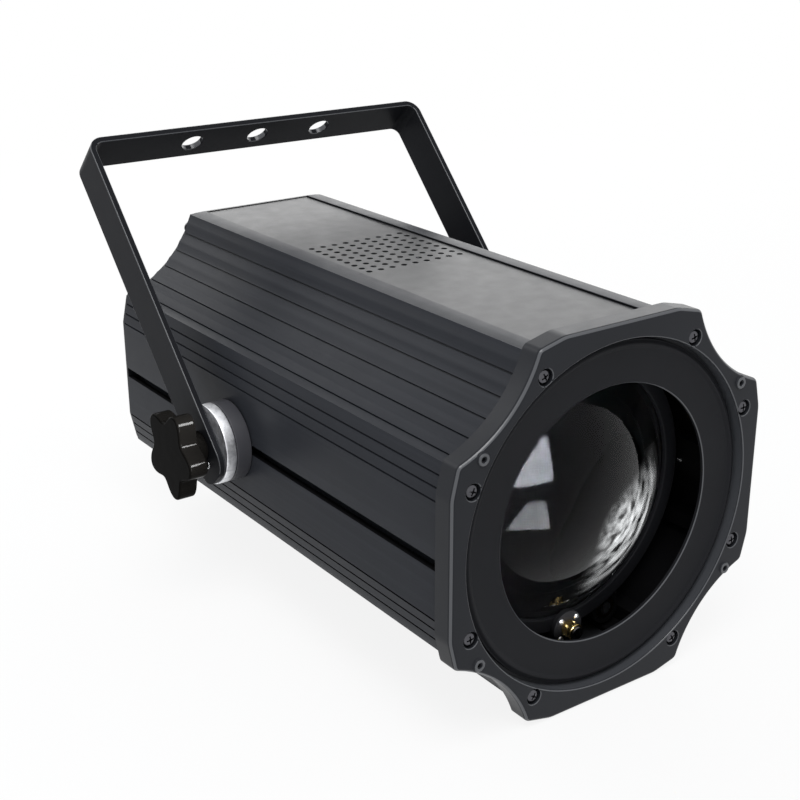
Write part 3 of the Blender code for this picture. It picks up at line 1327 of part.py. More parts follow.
def make_fan():
    x, front, z = fan_place()
    hub_back = front + FAN_HUB_DEPTH + RUNNING
    square = [(-FAN_HALF, -FAN_HALF), (FAN_HALF, -FAN_HALF), (FAN_HALF, FAN_HALF), (-FAN_HALF, FAN_HALF)]
    frame_loops = [square, circle(FAN_BORE, ROUND_LARGE)]
    frame = place(
        "fan_frame",
        flat_mesh("fan_frame", frame_loops, FAN_DEPTH),
        matt_black(),
        (x, front + FAN_DEPTH / 2, z),
        FACE_FRONT,
    )
    back = front + FAN_DEPTH
    half = FAN_SPOKE_WIDTH / 2
    long_half = (FAN_BORE + FAN_HALF) / 2
    for turned_way in ((long_half, half), (half, long_half)):
        spoke = box_mesh(
            "spoke",
            (x - turned_way[0], back - FAN_SPOKE_DEPTH, z - turned_way[1]),
            (x + turned_way[0], back - SEAT, z + turned_way[1]),
        )
        combine(frame, spoke, "UNION")
    hub = cylinder_mesh("fan_motor", FAN_HUB_RADIUS, -(back - SEAT - hub_back), 0, ROUND_MEDIUM)
    combine(frame, hub, "UNION", (x, hub_back, z), FACE_FRONT)

    rotor = place(
        "fan_rotor",
        cylinder_mesh("fan_rotor", FAN_HUB_RADIUS, -FAN_HUB_DEPTH, -RUNNING, ROUND_MEDIUM),
        matt_black(),
        (x, front, z),
        FACE_FRONT,
    )
    blades = bpy.data.meshes.new("fan_blades")
    solid = bmesh.new()
    span = FAN_BLADE_REACH - FAN_BLADE_ROOT
    for number in range(FAN_BLADES):
        made = bmesh.ops.create_cube(solid, size=1)
        shape = Matrix.Diagonal((span, FAN_BLADE_CHORD, FAN_BLADE_THICKNESS, 1))
        pitch = Matrix.Rotation(FAN_BLADE_TWIST, 4, "X")
        out = Matrix.Translation((FAN_BLADE_ROOT + span / 2, 0, -FAN_HUB_DEPTH / 2))
        spin = Matrix.Rotation(2 * pi * number / FAN_BLADES, 4, "Z")
        bmesh.ops.transform(solid, matrix=spin @ out @ pitch @ shape, verts=made["verts"])
    solid.to_mesh(blades)
    solid.free()
    combine(rotor, blades, "UNION", (x, front, z), FACE_FRONT)


def make_power_supply():
    """A closed supply that stands on the extrusions' floor ledges."""
    low = (-SUPPLY_HALF_WIDTH, SUPPLY_BACK - SUPPLY_LENGTH, SUPPLY_BOTTOM)
    high = (SUPPLY_HALF_WIDTH, SUPPLY_BACK, SUPPLY_BOTTOM + SUPPLY_HEIGHT)
    place("power_supply", box_mesh("power_supply", low, high), aluminium())


make_front_bezel()
make_bezel_screws()
make_aperture_plate()
make_body()
make_roof_and_floor()
make_rear_panel()
make_sockets()
make_fuse_holder()
make_controls()
make_yoke()
make_pivot_side("left", -1)
make_pivot_side("right", 1)
make_lens()
make_lens_carriage()
make_lens_retainer()
make_lead_nut()
make_rods_and_bushings()
make_lead_screw()
make_bulkhead()
make_light_engine()
make_zoom_motor()
make_fan()
make_power_supply()
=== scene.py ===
"""The looks of the zoom stage spotlight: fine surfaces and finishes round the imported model.

Metres, +Z up. Shapes are made in the fixture's own frame, where the optical axis is Y and the bezel's
front face is y = 0, or in the yoke's frame, where the pivots are the X axis and the arms point along Z.
"""

import random
from contextlib import contextmanager
from math import acos, atan2, cos, pi, radians, sin

import bmesh
import bpy
from mathutils import Matrix, Vector


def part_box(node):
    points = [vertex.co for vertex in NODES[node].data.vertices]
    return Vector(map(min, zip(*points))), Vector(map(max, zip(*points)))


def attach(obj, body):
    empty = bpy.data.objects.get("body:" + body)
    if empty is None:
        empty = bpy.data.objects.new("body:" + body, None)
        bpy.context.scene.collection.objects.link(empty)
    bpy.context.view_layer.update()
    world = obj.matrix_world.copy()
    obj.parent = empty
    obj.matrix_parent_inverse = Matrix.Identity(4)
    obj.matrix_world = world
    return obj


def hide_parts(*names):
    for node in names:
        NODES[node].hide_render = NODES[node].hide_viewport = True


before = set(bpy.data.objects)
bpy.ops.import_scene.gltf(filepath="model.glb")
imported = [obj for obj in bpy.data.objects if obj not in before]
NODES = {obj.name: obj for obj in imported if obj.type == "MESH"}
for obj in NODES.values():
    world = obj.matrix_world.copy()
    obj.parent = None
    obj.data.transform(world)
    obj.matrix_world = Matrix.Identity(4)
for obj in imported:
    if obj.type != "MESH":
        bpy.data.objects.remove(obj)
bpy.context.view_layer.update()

# Bezel
BEZEL_HALF = 0.1105
BEZEL_TIP = 0.0568
BEZEL_CHAMFER_RUN = 0.017
BEZEL_CHAMFER_DROP = 0.0041
BEZEL_SAG = 0.0084
BEZEL_DEPTH = 0.013
BEZEL_EDGE = 0.0024
BEZEL_TIP_EASE = 0.0025
RECESS_RADIUS = 0.1004
RECESS_DEPTH = 0.0083
RECESS_LIP = 0.0010
RECESS_TOLERANCE = 0.00025
LEDGE_RADIUS = 0.0925
SCREW_NEAR = 0.0526
SCREW_FAR = 0.0916
SIDE_SCREW_NEAR = 0.0414
SIDE_SCREW_FAR = 0.0969
COUNTERBORE_RADIUS = 0.0047
COUNTERBORE_DEPTH = 0.0032
COUNTERBORE_EASE = 0.0004
BOSS_ACROSS = 0.0915
BOSS_UP = 0.0577
BOSS_RADIUS = 0.0043
BOSS_TOP_RADIUS = 0.0034
BOSS_HEIGHT = 0.0007
BOSS_HOLE_RADIUS = 0.0012
BOSS_HOLE_DEPTH = 0.004
BOSS_RING_WIDTH = 0.0015
BOSS_RING_PROUD = 0.0005
BOSS_RING_INSET = 0.0001
BOSS_RING_SUNK = 0.0002
BOSS_RING_EASE = 0.0004

# Screws, each as the radius and height of its head, the shank's radius and the length
SHANK_RADIUS = 0.0017
PAN_HEAD = (0.0039, 0.0024, SHANK_RADIUS, 0.016)
DISC_SCREW = (0.0024, 0.0014, 0.0012, 0.0097)
NUT_SCREW = (0.0019, 0.0013, 0.0009, 0.003)
SOCKET_SCREW = (0.0022, 0.0012, 0.0009, 0.005)
HEAD_RIM_SHARE = 0.35

# Aperture plate
APERTURE_RADIUS = 0.0741
PLATE_FRONT = 0.0058
PLATE_BACK = 0.0080
PLATE_RIM_RADIUS = 0.0984
PLATE_RIDGE_RADIUS = 0.0955
PLATE_RIDGE_HEIGHT = 0.0013
PLATE_RIDGE_WIDTH = 0.0050
PLATE_EDGE = 0.0005
PLATE_RIM_DROP = 0.0006

# Body extrusions and plates
BODY_LENGTH = 0.374
BODY_FRONT = 0.0133
BODY_REAR = 0.3717
BODY_SIDE = 0.1084
BODY_WALL = 0.0028
TOP_TIP = (0.0531, 0.1014)
SIDE_TIP = (0.1042, 0.0531)
BODY_SAG = 0.0084
CORNER_PERIODS = 5.5
GROOVE_WIDTH = 0.0011
GROOVE_DEPTH = 0.0011
RIDGE_HEIGHT = 0.0006
RIDGE_SPREAD = 0.42
RIDGE_SHARPNESS = 1.3
SIDE_GROOVE_TOP = 0.0467
SIDE_GROOVE_PITCH = 0.0066
SIDE_GROOVES = 3
LIP_X = 0.0414
LIP_Z = 0.1023
LIP_DEPTH = 0.0020
LIP_FALL = 0.0003
LIP_FALL_WIDTH = 0.0040
BODY_EASE = 0.0004
LEDGE_WIDTH = 0.0066
LEDGE_THICKNESS = 0.0026
LUG_WIDTH = 0.0086
LUG_HOLE_RADIUS = 0.0020
SLOT_Z = -0.00215
SLOT_WIDTH = 0.0064
SLOT_CAVITY_WIDTH = 0.0152
SLOT_CAVITY_DEPTH = 0.0066
SLOT_WALL = 0.0026
INNER_ARC = (0.94, 0.78, 0.62, 0.5, 0.38, 0.22)
TOWARDS_AXIS = 0.0008
ROOF_Z = 0.1012
ROOF_THICKNESS = 0.0015
VENT_COUNT = 9
VENT_RADIUS = 0.0020
VENT_PITCH_X = 0.0085
VENT_PITCH_Y = 0.0080
VENT_FIRST_Y = 0.1810

# Yoke and pivots
PIVOT_Y = 0.2231
TILT = radians(43.3)
YOKE_OUTER = 0.1300
YOKE_THICKNESS = 0.0040
YOKE_WIDTH = 0.0300
YOKE_REACH = 0.2145
YOKE_BEND = 0.0100
YOKE_TAIL = 0.0235
YOKE_END_ROUND = 0.0110
YOKE_HOLE_RADIUS = 0.0075
YOKE_HOLE_PITCH = 0.0505
YOKE_EDGE = 0.0005
DISC_RADIUS = 0.0248
DISC_EDGE = 0.0007
FRICTION_DISC_THICKNESS = 0.0099
STUD_HOLE_RADIUS = 0.0034
DISC_SCREW_OUT = 0.0126
DISC_SCREW_HOLE_RADIUS = 0.0016
KNOB_RADIUS = 0.0284
KNOB_WAIST = 0.0196
KNOB_LOBES = 5
KNOB_THICKNESS = 0.0120
KNOB_HUB_RADIUS = 0.0098
KNOB_HUB_LENGTH = 0.0100
KNOB_PHASE = radians(13)
KNOB_EDGE = 0.0014
KNOB_HUB_EDGE = 0.0005

# Lens group
LENS_RADIUS = 0.0765
LENS_RIM_Y = 0.0390
LENS_SAG = 0.0285
LENS_EDGE = 0.0032
LENS_HOLDER_RADIUS = 0.0840
RETAINER_THICKNESS = 0.0026
RETAINER_OVERLAP = 0.0015
RETAINER_EASE = 0.0012
NUT_Z = -0.0820
NUT_FLANGE_RADIUS = 0.0105
NUT_FLANGE_THICKNESS = 0.0035
NUT_BARREL_RADIUS = 0.0051
NUT_BARREL_LENGTH = 0.0070
NUT_SCREW_OFFSET = 0.00565
NUT_SCREW_TURN = 0.7
NUT_EASE = 0.0005
LEAD_RADIUS = 0.0040
LEAD_PITCH = 0.0020
LEAD_THREAD_DEPTH = 0.0005
LEAD_THREAD_STEPS = (0.15, 0.35, 0.65, 0.85)

# Two bright studs in the right wall, beside the lens
WALL_STUD_X = 0.0962
WALL_STUD_YS = (0.0440, 0.0462)
WALL_STUD_Z = -0.0060
WALL_STUD = [(0, 0.0006), (0.0007, 0.0004), (0.0009, 0), (0.0009, -0.0004), (0, -0.0004)]

# Painted reflection on the glass, a whitish film of streaks: waves a metre and a radian, then angles and
# radii round the optical axis
PAINTED_STREAK_ARCS = 170.0
PAINTED_STREAK_BREAKS = 2.6
PAINTED_STREAK_ANGLE = -0.62
PAINTED_STREAK_HALF_ANGLE = 1.10
PAINTED_STREAK_INNER = 0.004
PAINTED_STREAK_OUTER = 0.062
PAINTED_STREAK_FADE = 0.027
PAINTED_STREAK_STRENGTH = 0.27
PAINTED_STREAK_NOISE = (0.36, 0.78)

# Rear panel
WINDOW_HALF_WIDTH = 0.0260
WINDOW_HALF_HEIGHT = 0.0130
WINDOW_Z = 0.0480
BUTTON_COUNT = 4
BUTTON_PITCH = 0.0160
BUTTON_Z = 0.0180
BUTTON_RADIUS = 0.0040
BUTTON_RING_GAP = 0.0006
BUTTON_RING_WIDTH = 0.0014
BUTTON_RING_INNER_HEIGHT = 0.0007
BUTTON_RING_OUTER_HEIGHT = 0.0005
BUTTON_RING_EASE = 0.0003
FRAME_WIDTH = 0.0024
FRAME_GAP = 0.0004
FRAME_HEIGHT = 0.0010
FRAME_OUTER_CORNER = 0.0016
FRAME_INNER_CORNER = 0.0008
FRAME_EDGE = 0.0003
DATA_BORE_RADIUS = 0.0085
POWER_BORE_RADIUS = 0.0100
SOCKET_BORE_DEPTH = 0.0150
SOCKET_SCREW_X = 0.0100
SOCKET_SCREW_Z = 0.0125
SOCKET_SCREW_TURN = 0.6
INSERT_GAP = 0.0014
INSERT_DROP = 0.0016
INSERT_EDGE = 0.0006
INSERT_HOLE_DEPTH = 0.010
PIN_DROP = 0.0035
PIN_POINT = 0.0010
FUSE_CAP_RADIUS = 0.0070
FUSE_CAP_PROUD = 0.0060
FUSE_CAP_STEP = 0.0008
FUSE_CAP_EASE = 0.0005
FUSE_BARREL_RADIUS = 0.0058
FUSE_SLOT = (0.0045, 0.0006, 0.0016)
FUSE_SLOT_TURN = 0.5

# Sockets: bore, radius of the circle of pins, radius of a pin or its hole, and whether it has pins
SOCKETS = (
    ("data_in", DATA_BORE_RADIUS, 0.0045, 0.0011, True),
    ("data_out", DATA_BORE_RADIUS, 0.0045, 0.0013, False),
    ("power_in", POWER_BORE_RADIUS, 0.0055, 0.0016, True),
    ("power_out", POWER_BORE_RADIUS, 0.0055, 0.0018, False),
)

# The number of sides of round pieces, from the large rings to the cores of the cross recesses
ROUND_LARGE = 192
ROUND_RING = 160
ROUND_DISC = 96
ROUND_CAP = 64
ROUND_HUB = 48
ROUND_HEAD = 40
ROUND_HOLE = 32
ROUND_VENT = 24
ROUND_PIN = 20
ROUND_SHANK = 16
ROUND_CORE = 12

# Camera, solved from the photograph
CAMERA_PLACE = (-0.48965, -0.67881, 0.44079)
CAMERA_RIGHT = (0.8135, -0.5816, -0.0024)
CAMERA_UP = (0.2104, 0.2903, 0.9335)
CAMERA_BACK = (-0.5422, -0.7599, 0.3585)
CAMERA_LENS = 63.44
CAMERA_SENSOR = 36

# The floor is white beside the object, but for a part of its shadow, and all white further out
FLOOR_NEAR = 0.45
FLOOR_FAR = 1.6
FLOOR_WHITE_NEAR = 0.87
FLOOR_GAP = 0.0002

# Gaps where pieces rest and where they run on each other, and how close points are welded
SEAT = 0.0003
RUNNING = 0.0004
WELD = 0.000003


def moved(x, y, z):
    return Matrix.Translation((x, y, z))


def turned(angle, axis):
    return Matrix.Rotation(angle, 4, axis)


WORLD = Matrix.Identity(4)
FACE_FRONT = turned(pi / 2, "X")
FACE_BACK = turned(-pi / 2, "X")

# The frames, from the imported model
bezel_low, bezel_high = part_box("front_bezel")
FIXTURE = moved(0, bezel_low.y + BOSS_HEIGHT, (bezel_low.z + bezel_high.z) / 2)
AT_PIVOT = moved(0, PIVOT_Y, SLOT_Z)
PIVOT = FIXTURE @ AT_PIVOT @ turned(-TILT, "X")
LENS = FIXTURE @ moved(0, LENS_RIM_Y, 0)


class Finish:
    """A material on a Principled shader, with its colour, roughness and bump from nodes."""

    def __init__(self, name, colour, roughness, metallic=0.0, **sockets):
        self.material = bpy.data.materials.new(name)
        self.material.use_nodes = True
        self.tree = self.material.node_tree
        self.shader = self.tree.nodes["Principled BSDF"]
        self.colour = colour
        self.roughness = roughness
        self.shader.inputs["Base Color"].default_value = (*colour, 1)
        self.shader.inputs["Roughness"].default_value = roughness
        self.shader.inputs["Metallic"].default_value = metallic
        for socket, value in sockets.items():
            self.shader.inputs[socket.replace("_", " ")].default_value = value
        self.place = self.node("ShaderNodeTexCoord").outputs["Object"]
        self.height = None

    def node(self, kind, **settings):
        """A new node; each setting is one of its inputs or else one of its properties."""
        made = self.tree.nodes.new(kind)
        for key, value in settings.items():
            if key in made.inputs:
                made.inputs[key].default_value = value
            else:
                setattr(made, key, value)
        return made

    def link(self, start, end):
        self.tree.links.new(start, end)

    def noise(self, scale, stretch=(1, 1, 1), detail=3.0, roughness=0.5):
        """A noise of about scale waves a metre, stretched where a factor is under 1."""
        mapping = self.node("ShaderNodeMapping")
        mapping.inputs["Scale"].default_value = stretch
        self.link(self.place, mapping.inputs["Vector"])
        made = self.node("ShaderNodeTexNoise", Scale=scale, Detail=detail, Roughness=roughness)
        self.link(mapping.outputs["Vector"], made.inputs["Vector"])
        return made.outputs["Fac"]

    def spread(self, value, low, high, start=0.3, end=0.7, curve="LINEAR"):
        """Maps start..end, which is a texture's middle range, to low..high."""
        made = self.node("ShaderNodeMapRange", interpolation_type=curve)
        for key, number in zip(("From Min", "From Max", "To Min", "To Max"), (start, end, low, high)):
            made.inputs[key].default_value = number
        self.link(value, made.inputs["Value"])
        return made.outputs["Result"]

    def math(self, operation, first, second=None):
        made = self.node("ShaderNodeMath", operation=operation)
        for socket, value in zip(made.inputs, (first, second)):
            if isinstance(value, float):
                socket.default_value = value
            elif value is not None:
                self.link(value, socket)
        return made.outputs[0]

    def square(self, value):
        return self.math("MULTIPLY", value, value)

    def eased_range(self, value, start, end):
        """Rises smoothly from 0 at start to 1 at end, which may be the lower of the two."""
        if start < end:
            return self.spread(value, 0, 1, start, end, "SMOOTHSTEP")
        return self.spread(value, 1, 0, end, start, "SMOOTHSTEP")

    def vary_colour(self, value, other, start=0.3, end=0.7):
        """Blends the colour so far towards another where the texture is high."""
        mix = self.node("ShaderNodeMix", data_type="RGBA")
        socket = self.shader.inputs["Base Color"]
        if socket.links:
            self.link(socket.links[0].from_socket, mix.inputs["A"])
        else:
            mix.inputs["A"].default_value = socket.default_value
        mix.inputs["B"].default_value = (*other, 1)
        self.link(self.spread(value, 0, 1, start, end), mix.inputs["Factor"])
        self.link(mix.outputs["Result"], socket)
        return self

    def vary_roughness(self, value, low, high):
        self.link(self.spread(value, low, high), self.shader.inputs["Roughness"])
        return self

    def bump(self, value, depth, strength=1.0):
        """Adds relief of the given depth in metres."""
        made = self.node("ShaderNodeBump", Strength=strength, Distance=depth)
        self.link(value, made.inputs["Height"])
        if self.height:
            self.link(self.height, made.inputs["Normal"])
        self.height = made.outputs["Normal"]
        self.link(self.height, self.shader.inputs["Normal"])
        return self

    def mottled(self, scale, detail, other):
        return self.vary_colour(self.noise(scale, detail=detail), other)

    def patchy(self, scale, detail, low, high):
        return self.vary_roughness(self.noise(scale, detail=detail), low, high)

    def grained(self, scale, detail, depth, strength):
        return self.bump(self.noise(scale, detail=detail), depth, strength)


def powder_coat(name, colour, roughness, gloss=0.15, drawn=False):
    """Fine charcoal paint; on an extrusion it also shows faint lines along the length."""
    made = Finish(name, colour, roughness, Specular_IOR_Level=gloss)
    made.mottled(14, 4, tuple(part * 1.15 for part in colour))
    if drawn:
        lines = made.noise(420, (1, 0.012, 1), detail=2)
        made.vary_colour(lines, tuple(part * 1.3 for part in colour), 0.45, 0.9)
        made.bump(lines, 0.00006, 0.5)
    made.patchy(90, 5, roughness - 0.02, roughness + 0.03)
    return made.grained(2600, 2, 0.00003, 0.55)


def add_painted_streaks(made):
    """A painted reflection: a thin whitish film of arcs round the optical axis, on one side of the glass,
    where it paints streaks of reflected light.
    """
    parts = made.node("ShaderNodeSeparateXYZ")
    made.link(made.place, parts.inputs[0])
    squares = made.math("ADD", made.square(parts.outputs["X"]), made.square(parts.outputs["Z"]))
    radius = made.math("SQRT", squares)
    angle = made.math("ARCTAN2", parts.outputs["Z"], parts.outputs["X"])
    polar = made.node("ShaderNodeCombineXYZ")
    made.link(made.math("MULTIPLY", radius, PAINTED_STREAK_ARCS), polar.inputs["X"])
    made.link(made.math("MULTIPLY", angle, PAINTED_STREAK_BREAKS), polar.inputs["Y"])
    arcs = made.node("ShaderNodeTexNoise", Scale=1.0, Detail=3.0, Roughness=0.5)
    made.link(polar.outputs["Vector"], arcs.inputs["Vector"])
    away = made.math("ABSOLUTE", made.math("SUBTRACT", angle, PAINTED_STREAK_ANGLE))
    film = made.spread(arcs.outputs["Fac"], 0.0, PAINTED_STREAK_STRENGTH, *PAINTED_STREAK_NOISE)
    for value, start, end in (
        (away, PAINTED_STREAK_HALF_ANGLE, PAINTED_STREAK_HALF_ANGLE * 0.15),
        (radius, PAINTED_STREAK_INNER, PAINTED_STREAK_INNER + PAINTED_STREAK_FADE),
        (radius, PAINTED_STREAK_OUTER, PAINTED_STREAK_OUTER - PAINTED_STREAK_FADE * 0.4),
    ):
        film = made.math("MULTIPLY", film, made.eased_range(value, start, end))
    made.link(made.math("SUBTRACT", 1.0, film), made.shader.inputs["Transmission Weight"])


def metal(name, colour, roughness, scratch=0.00002):
    made = Finish(name, colour, roughness, 1.0)
    made.vary_colour(made.noise(180, detail=5, roughness=0.65), tuple(part * 0.8 for part in colour))
    made.patchy(90, 4, roughness - 0.06, roughness + 0.1)
    return made.bump(made.noise(1500, (1, 1, 0.2), detail=3), scratch, 0.6)


BODY_PAINT = powder_coat("body_paint", (0.0235, 0.0252, 0.0300), 0.34, 0.05, drawn=True)
BEZEL_PAINT = powder_coat("bezel_paint", (0.0160, 0.0172, 0.0206), 0.36, 0.13)
# A lighter, glossier paint that paints highlights on rounded edges, walls and rings
EDGE_HIGHLIGHT_PAINT = powder_coat("bezel_edge_painted_highlight", (0.060, 0.063, 0.070), 0.30, 0.60)
PLATE_PAINT = powder_coat("plate_paint", (0.0140, 0.0146, 0.0165), 0.36, 0.17)
YOKE_PAINT = powder_coat("yoke_paint", (0.0145, 0.0151, 0.0174), 0.34, 0.02)
MATT_BLACK = powder_coat("matt_black", (0.0120, 0.0124, 0.0144), 0.50, 0.08)
# Near-black paint that paints the shade inside the housing, in grooves and on the lead nut's flange
PAINTED_SHADE_BLACK = powder_coat("inner_painted_shade", (0.0035, 0.0035, 0.0040), 0.65, 0.05)
SCREW_BLACK = metal("screw_black", (0.10, 0.10, 0.11), 0.26)
STEEL = metal("steel", (0.62, 0.63, 0.65), 0.25)
ALUMINIUM = metal("aluminium", (0.80, 0.81, 0.83), 0.34)
BRASS = metal("brass", (0.80, 0.58, 0.22), 0.2)
OILED_BRONZE = metal("oiled_bronze", (0.036, 0.026, 0.015), 0.4)

CAST_ALUMINIUM = Finish("cast_aluminium", (0.90, 0.91, 0.94), 0.42, 1.0)
CAST_GRAIN = CAST_ALUMINIUM.noise(260, detail=6, roughness=0.7)
CAST_ALUMINIUM.vary_colour(CAST_GRAIN, (0.60, 0.61, 0.64), 0.45, 0.68)
CAST_ALUMINIUM.patchy(120, 4, 0.36, 0.55).grained(700, 4, 0.00008, 0.6)

KNOB_GLOSS = Finish("knob_gloss", (0.0014, 0.0013, 0.0012), 0.10, Specular_IOR_Level=0.008)
KNOB_GLOSS.patchy(160, 4, 0.06, 0.14).grained(140, 2, 0.00025, 0.35)

PLASTIC = Finish("black_plastic", (0.014, 0.014, 0.016), 0.45)
PLASTIC.patchy(90, 3, 0.38, 0.55).grained(3200, 2, 0.00002, 0.6)

FRICTION = Finish("friction_pad", (0.042, 0.042, 0.049), 0.40, Specular_IOR_Level=0.3)
FRICTION.mottled(40, 4, (0.060, 0.060, 0.068))
FRICTION.patchy(110, 3, 0.36, 0.52).grained(1800, 3, 0.00003, 0.6)

WINDOW = Finish("display_window", (0.006, 0.008, 0.011), 0.08, Coat_Weight=1.0, Coat_Roughness=0.03)
WINDOW.mottled(30, 2, (0.012, 0.016, 0.024))

BOARD = Finish("circuit_board", (0.010, 0.075, 0.035), 0.4)
BOARD.mottled(500, 2, (0.016, 0.11, 0.055)).grained(900, 1, 0.00004, 0.6)

PHOSPHOR = Finish("led_phosphor", (0.80, 0.62, 0.10), 0.35)
PHOSPHOR.mottled(1200, 2, (0.72, 0.52, 0.06))

GLASS = Finish(
    "lens_glass", (0.97, 0.985, 0.99), 0.0, Transmission_Weight=1.0, IOR=1.52,
    Specular_Tint=(0.085, 0.088, 0.098, 1.0),
)
GLASS.mottled(8, 2, (0.95, 0.975, 0.985))
# Painted reflection: a whitish film of streaks on one side of the glass
add_painted_streaks(GLASS)

# The flat back neither bends nor mirrors, so that the studio isn't seen twice in the lens
GLASS_BACK = Finish("lens_back", (1.0, 1.0, 1.0), 0.0, Transmission_Weight=1.0, IOR=1.01)
GLASS_BACK.mottled(8, 2, (0.97, 0.985, 0.99))


@contextmanager
def edited(mesh):
    """Opens a mesh for bmesh operations and writes it back."""
    solid = bmesh.new()
    solid.from_mesh(mesh)
    yield solid
    solid.to_mesh(mesh)
    solid.free()


def new_mesh(name, vertices, faces):
    mesh = bpy.data.meshes.new(name)
    mesh.from_pydata(vertices, [], faces)
    with edited(mesh) as solid:
        bmesh.ops.recalc_face_normals(solid, faces=solid.faces)
    return mesh


def placed(name, data, matrix=WORLD):
    obj = bpy.data.objects.new(name, data)
    obj.matrix_world = matrix
    bpy.context.scene.collection.objects.link(obj)
    return obj


def evaluated_mesh(obj):
    """What a curve or the modifiers make, as a new mesh."""
    bpy.context.view_layer.update()
    graph = bpy.context.evaluated_depsgraph_get()
    return bpy.data.meshes.new_from_object(obj.evaluated_get(graph))


def smooth(mesh, limit):
    """Smooth shading, but for edges sharper than the limit in degrees."""
    mesh.shade_smooth()
    mesh.set_sharp_from_angle(angle=radians(limit))


def lathe(name, points, sides, ring=False, matrix=FACE_FRONT, centre=(0.0, 0.0)):
    """Turns (radius, height) points round a Z axis through centre, then applies the matrix."""
    vertices = []
    rings = []
    for radius, height in points:
        if radius < 1e-7:
            rings.append([len(vertices)])
            vertices.append((centre[0], centre[1], height))
            continue
        rings.append(list(range(len(vertices), len(vertices) + sides)))
        for i in range(sides):
            turn = 2 * pi * i / sides
            vertices.append((centre[0] + radius * cos(turn), centre[1] + radius * sin(turn), height))
    pairs = list(zip(rings, rings[1:]))
    if ring:
        pairs.append((rings[-1], rings[0]))
    faces = []
    for near, far in pairs:
        for i in range(sides):
            j = (i + 1) % sides
            corners = [near[i % len(near)], near[j % len(near)], far[j % len(far)], far[i % len(far)]]
            faces.append(tuple(dict.fromkeys(corners)))
    mesh = new_mesh(name, vertices, faces)
    mesh.transform(matrix)
    return mesh


def eased(points, radius, steps=4):
    """A profile or outline with each corner that is listed as (x, y, True) rounded off."""
    done = []
    count = len(points)
    for i, point in enumerate(points):
        here = Vector(point[:2])
        if len(point) < 3:
            done.append(tuple(here))
            continue
        sides = [points[i - 1], points[(i + 1) % count]]
        before, after = (Vector(side[:2]) - here for side in sides)
        room = [leg.length / len(side[1:]) for leg, side in zip((before, after), sides)]
        reach = min(radius, *room)
        start = here + before.normalized() * reach
        end = here + after.normalized() * reach
        for step in range(steps + 1):
            part = step / steps
            rest = 1 - part
            done.append(tuple(rest ** 2 * start + 2 * part * rest * here + part ** 2 * end))
    return done


def flat_mesh(name, loops, thickness, matrix=FACE_FRONT):
    """A flat piece about z = 0; the first outline is its edge, the rest are holes."""
    outline = bpy.data.curves.new(name + "_outline", "CURVE")
    outline.dimensions = "2D"
    outline.fill_mode = "BOTH"
    outline.extrude = thickness / 2
    for loop in loops:
        spline = outline.splines.new("POLY")
        spline.points.add(len(loop) - 1)
        for point, (x, y) in zip(spline.points, loop):
            point.co = (x, y, 0, 1)
        spline.use_cyclic_u = True
    guide = placed(name + "_outline", outline)
    mesh = evaluated_mesh(guide)
    mesh.materials.clear()
    with edited(mesh) as solid:
        bmesh.ops.remove_doubles(solid, verts=solid.verts, dist=WELD / 3)
        bmesh.ops.dissolve_limit(solid, angle_limit=radians(0.2), verts=solid.verts, edges=solid.edges)
        bmesh.ops.recalc_face_normals(solid, faces=solid.faces)
    mesh.transform(matrix)
    bpy.data.objects.remove(guide)
    return mesh


def box_mesh(name, low, high):
    mesh = bpy.data.meshes.new(name)
    with edited(mesh) as solid:
        bmesh.ops.create_cube(solid, size=1)
    size = Vector(high) - Vector(low)
    mesh.transform(Matrix.Translation((Vector(low) + Vector(high)) / 2) @ Matrix.Diagonal((*size, 1)))
    return mesh


def joined(name, meshes):
    """One mesh from several that stay separate shells."""
    made = bpy.data.meshes.new(name)
    with edited(made) as solid:
        for mesh in meshes:
            solid.from_mesh(mesh)
    return made


def piece(name, mesh, finish, body, replaces=(), slot=None, matrix=FIXTURE, limit=30):
    """A visible piece in one of the frames; it rides on a body and may stand for CAD nodes."""
    mesh.materials.clear()
    mesh.materials.append(finish.material)
    smooth(mesh, limit)
    obj = placed(name, mesh, matrix)
    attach(obj, body)
    if replaces:
        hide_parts(*replaces)
    return obj


def baked(obj):
    """Applies the modifiers, so that the mesh is final."""
    mesh = evaluated_mesh(obj)
    obj.modifiers.clear()
    obj.data = mesh
    return obj


def without_slivers(mesh):
    """Welds the almost coincident points that a Boolean leaves."""
    with edited(mesh) as solid:
        bmesh.ops.remove_doubles(solid, verts=solid.verts, dist=WELD)
        bmesh.ops.dissolve_degenerate(solid, edges=solid.edges, dist=WELD)


def finish_faces(obj, finish, chosen):
    """Gives the faces that the test chooses a second finish."""
    obj.data.materials.append(finish.material)
    for face in obj.data.polygons:
        if chosen(face.center, face.normal):
            face.material_index = 1


def combine(obj, mesh, operation="DIFFERENCE"):
    """Cuts a mesh, in the piece's own frame, out of the piece, or joins it on."""
    tool = placed("tool", mesh, obj.matrix_world)
    boolean = obj.modifiers.new("boolean", "BOOLEAN")
    boolean.operation = operation
    boolean.object = tool
    boolean.solver = "EXACT"
    baked(obj)
    without_slivers(obj.data)
    bpy.data.objects.remove(tool)
    return obj


def bevelled(obj, width, segments=2, limit=35):
    rounding = obj.modifiers.new("edges", "BEVEL")
    rounding.width = width
    rounding.segments = segments
    rounding.limit_method = "ANGLE"
    rounding.angle_limit = radians(limit)
    rounding.harden_normals = True
    return baked(obj)


def face_weighted(obj, limit):
    """Smooth shading in which the flat faces stay flat beside their rounded edges."""
    smooth(obj.data, limit)
    normals = obj.modifiers.new("normals", "WEIGHTED_NORMAL")
    normals.keep_sharp = True
    normals.weight = 100
    return baked(obj)


def circle(radius, sides, centre=(0.0, 0.0), start=0.0):
    turns = [start + i * 2 * pi / sides for i in range(sides)]
    return [(centre[0] + radius * cos(turn), centre[1] + radius * sin(turn)) for turn in turns]


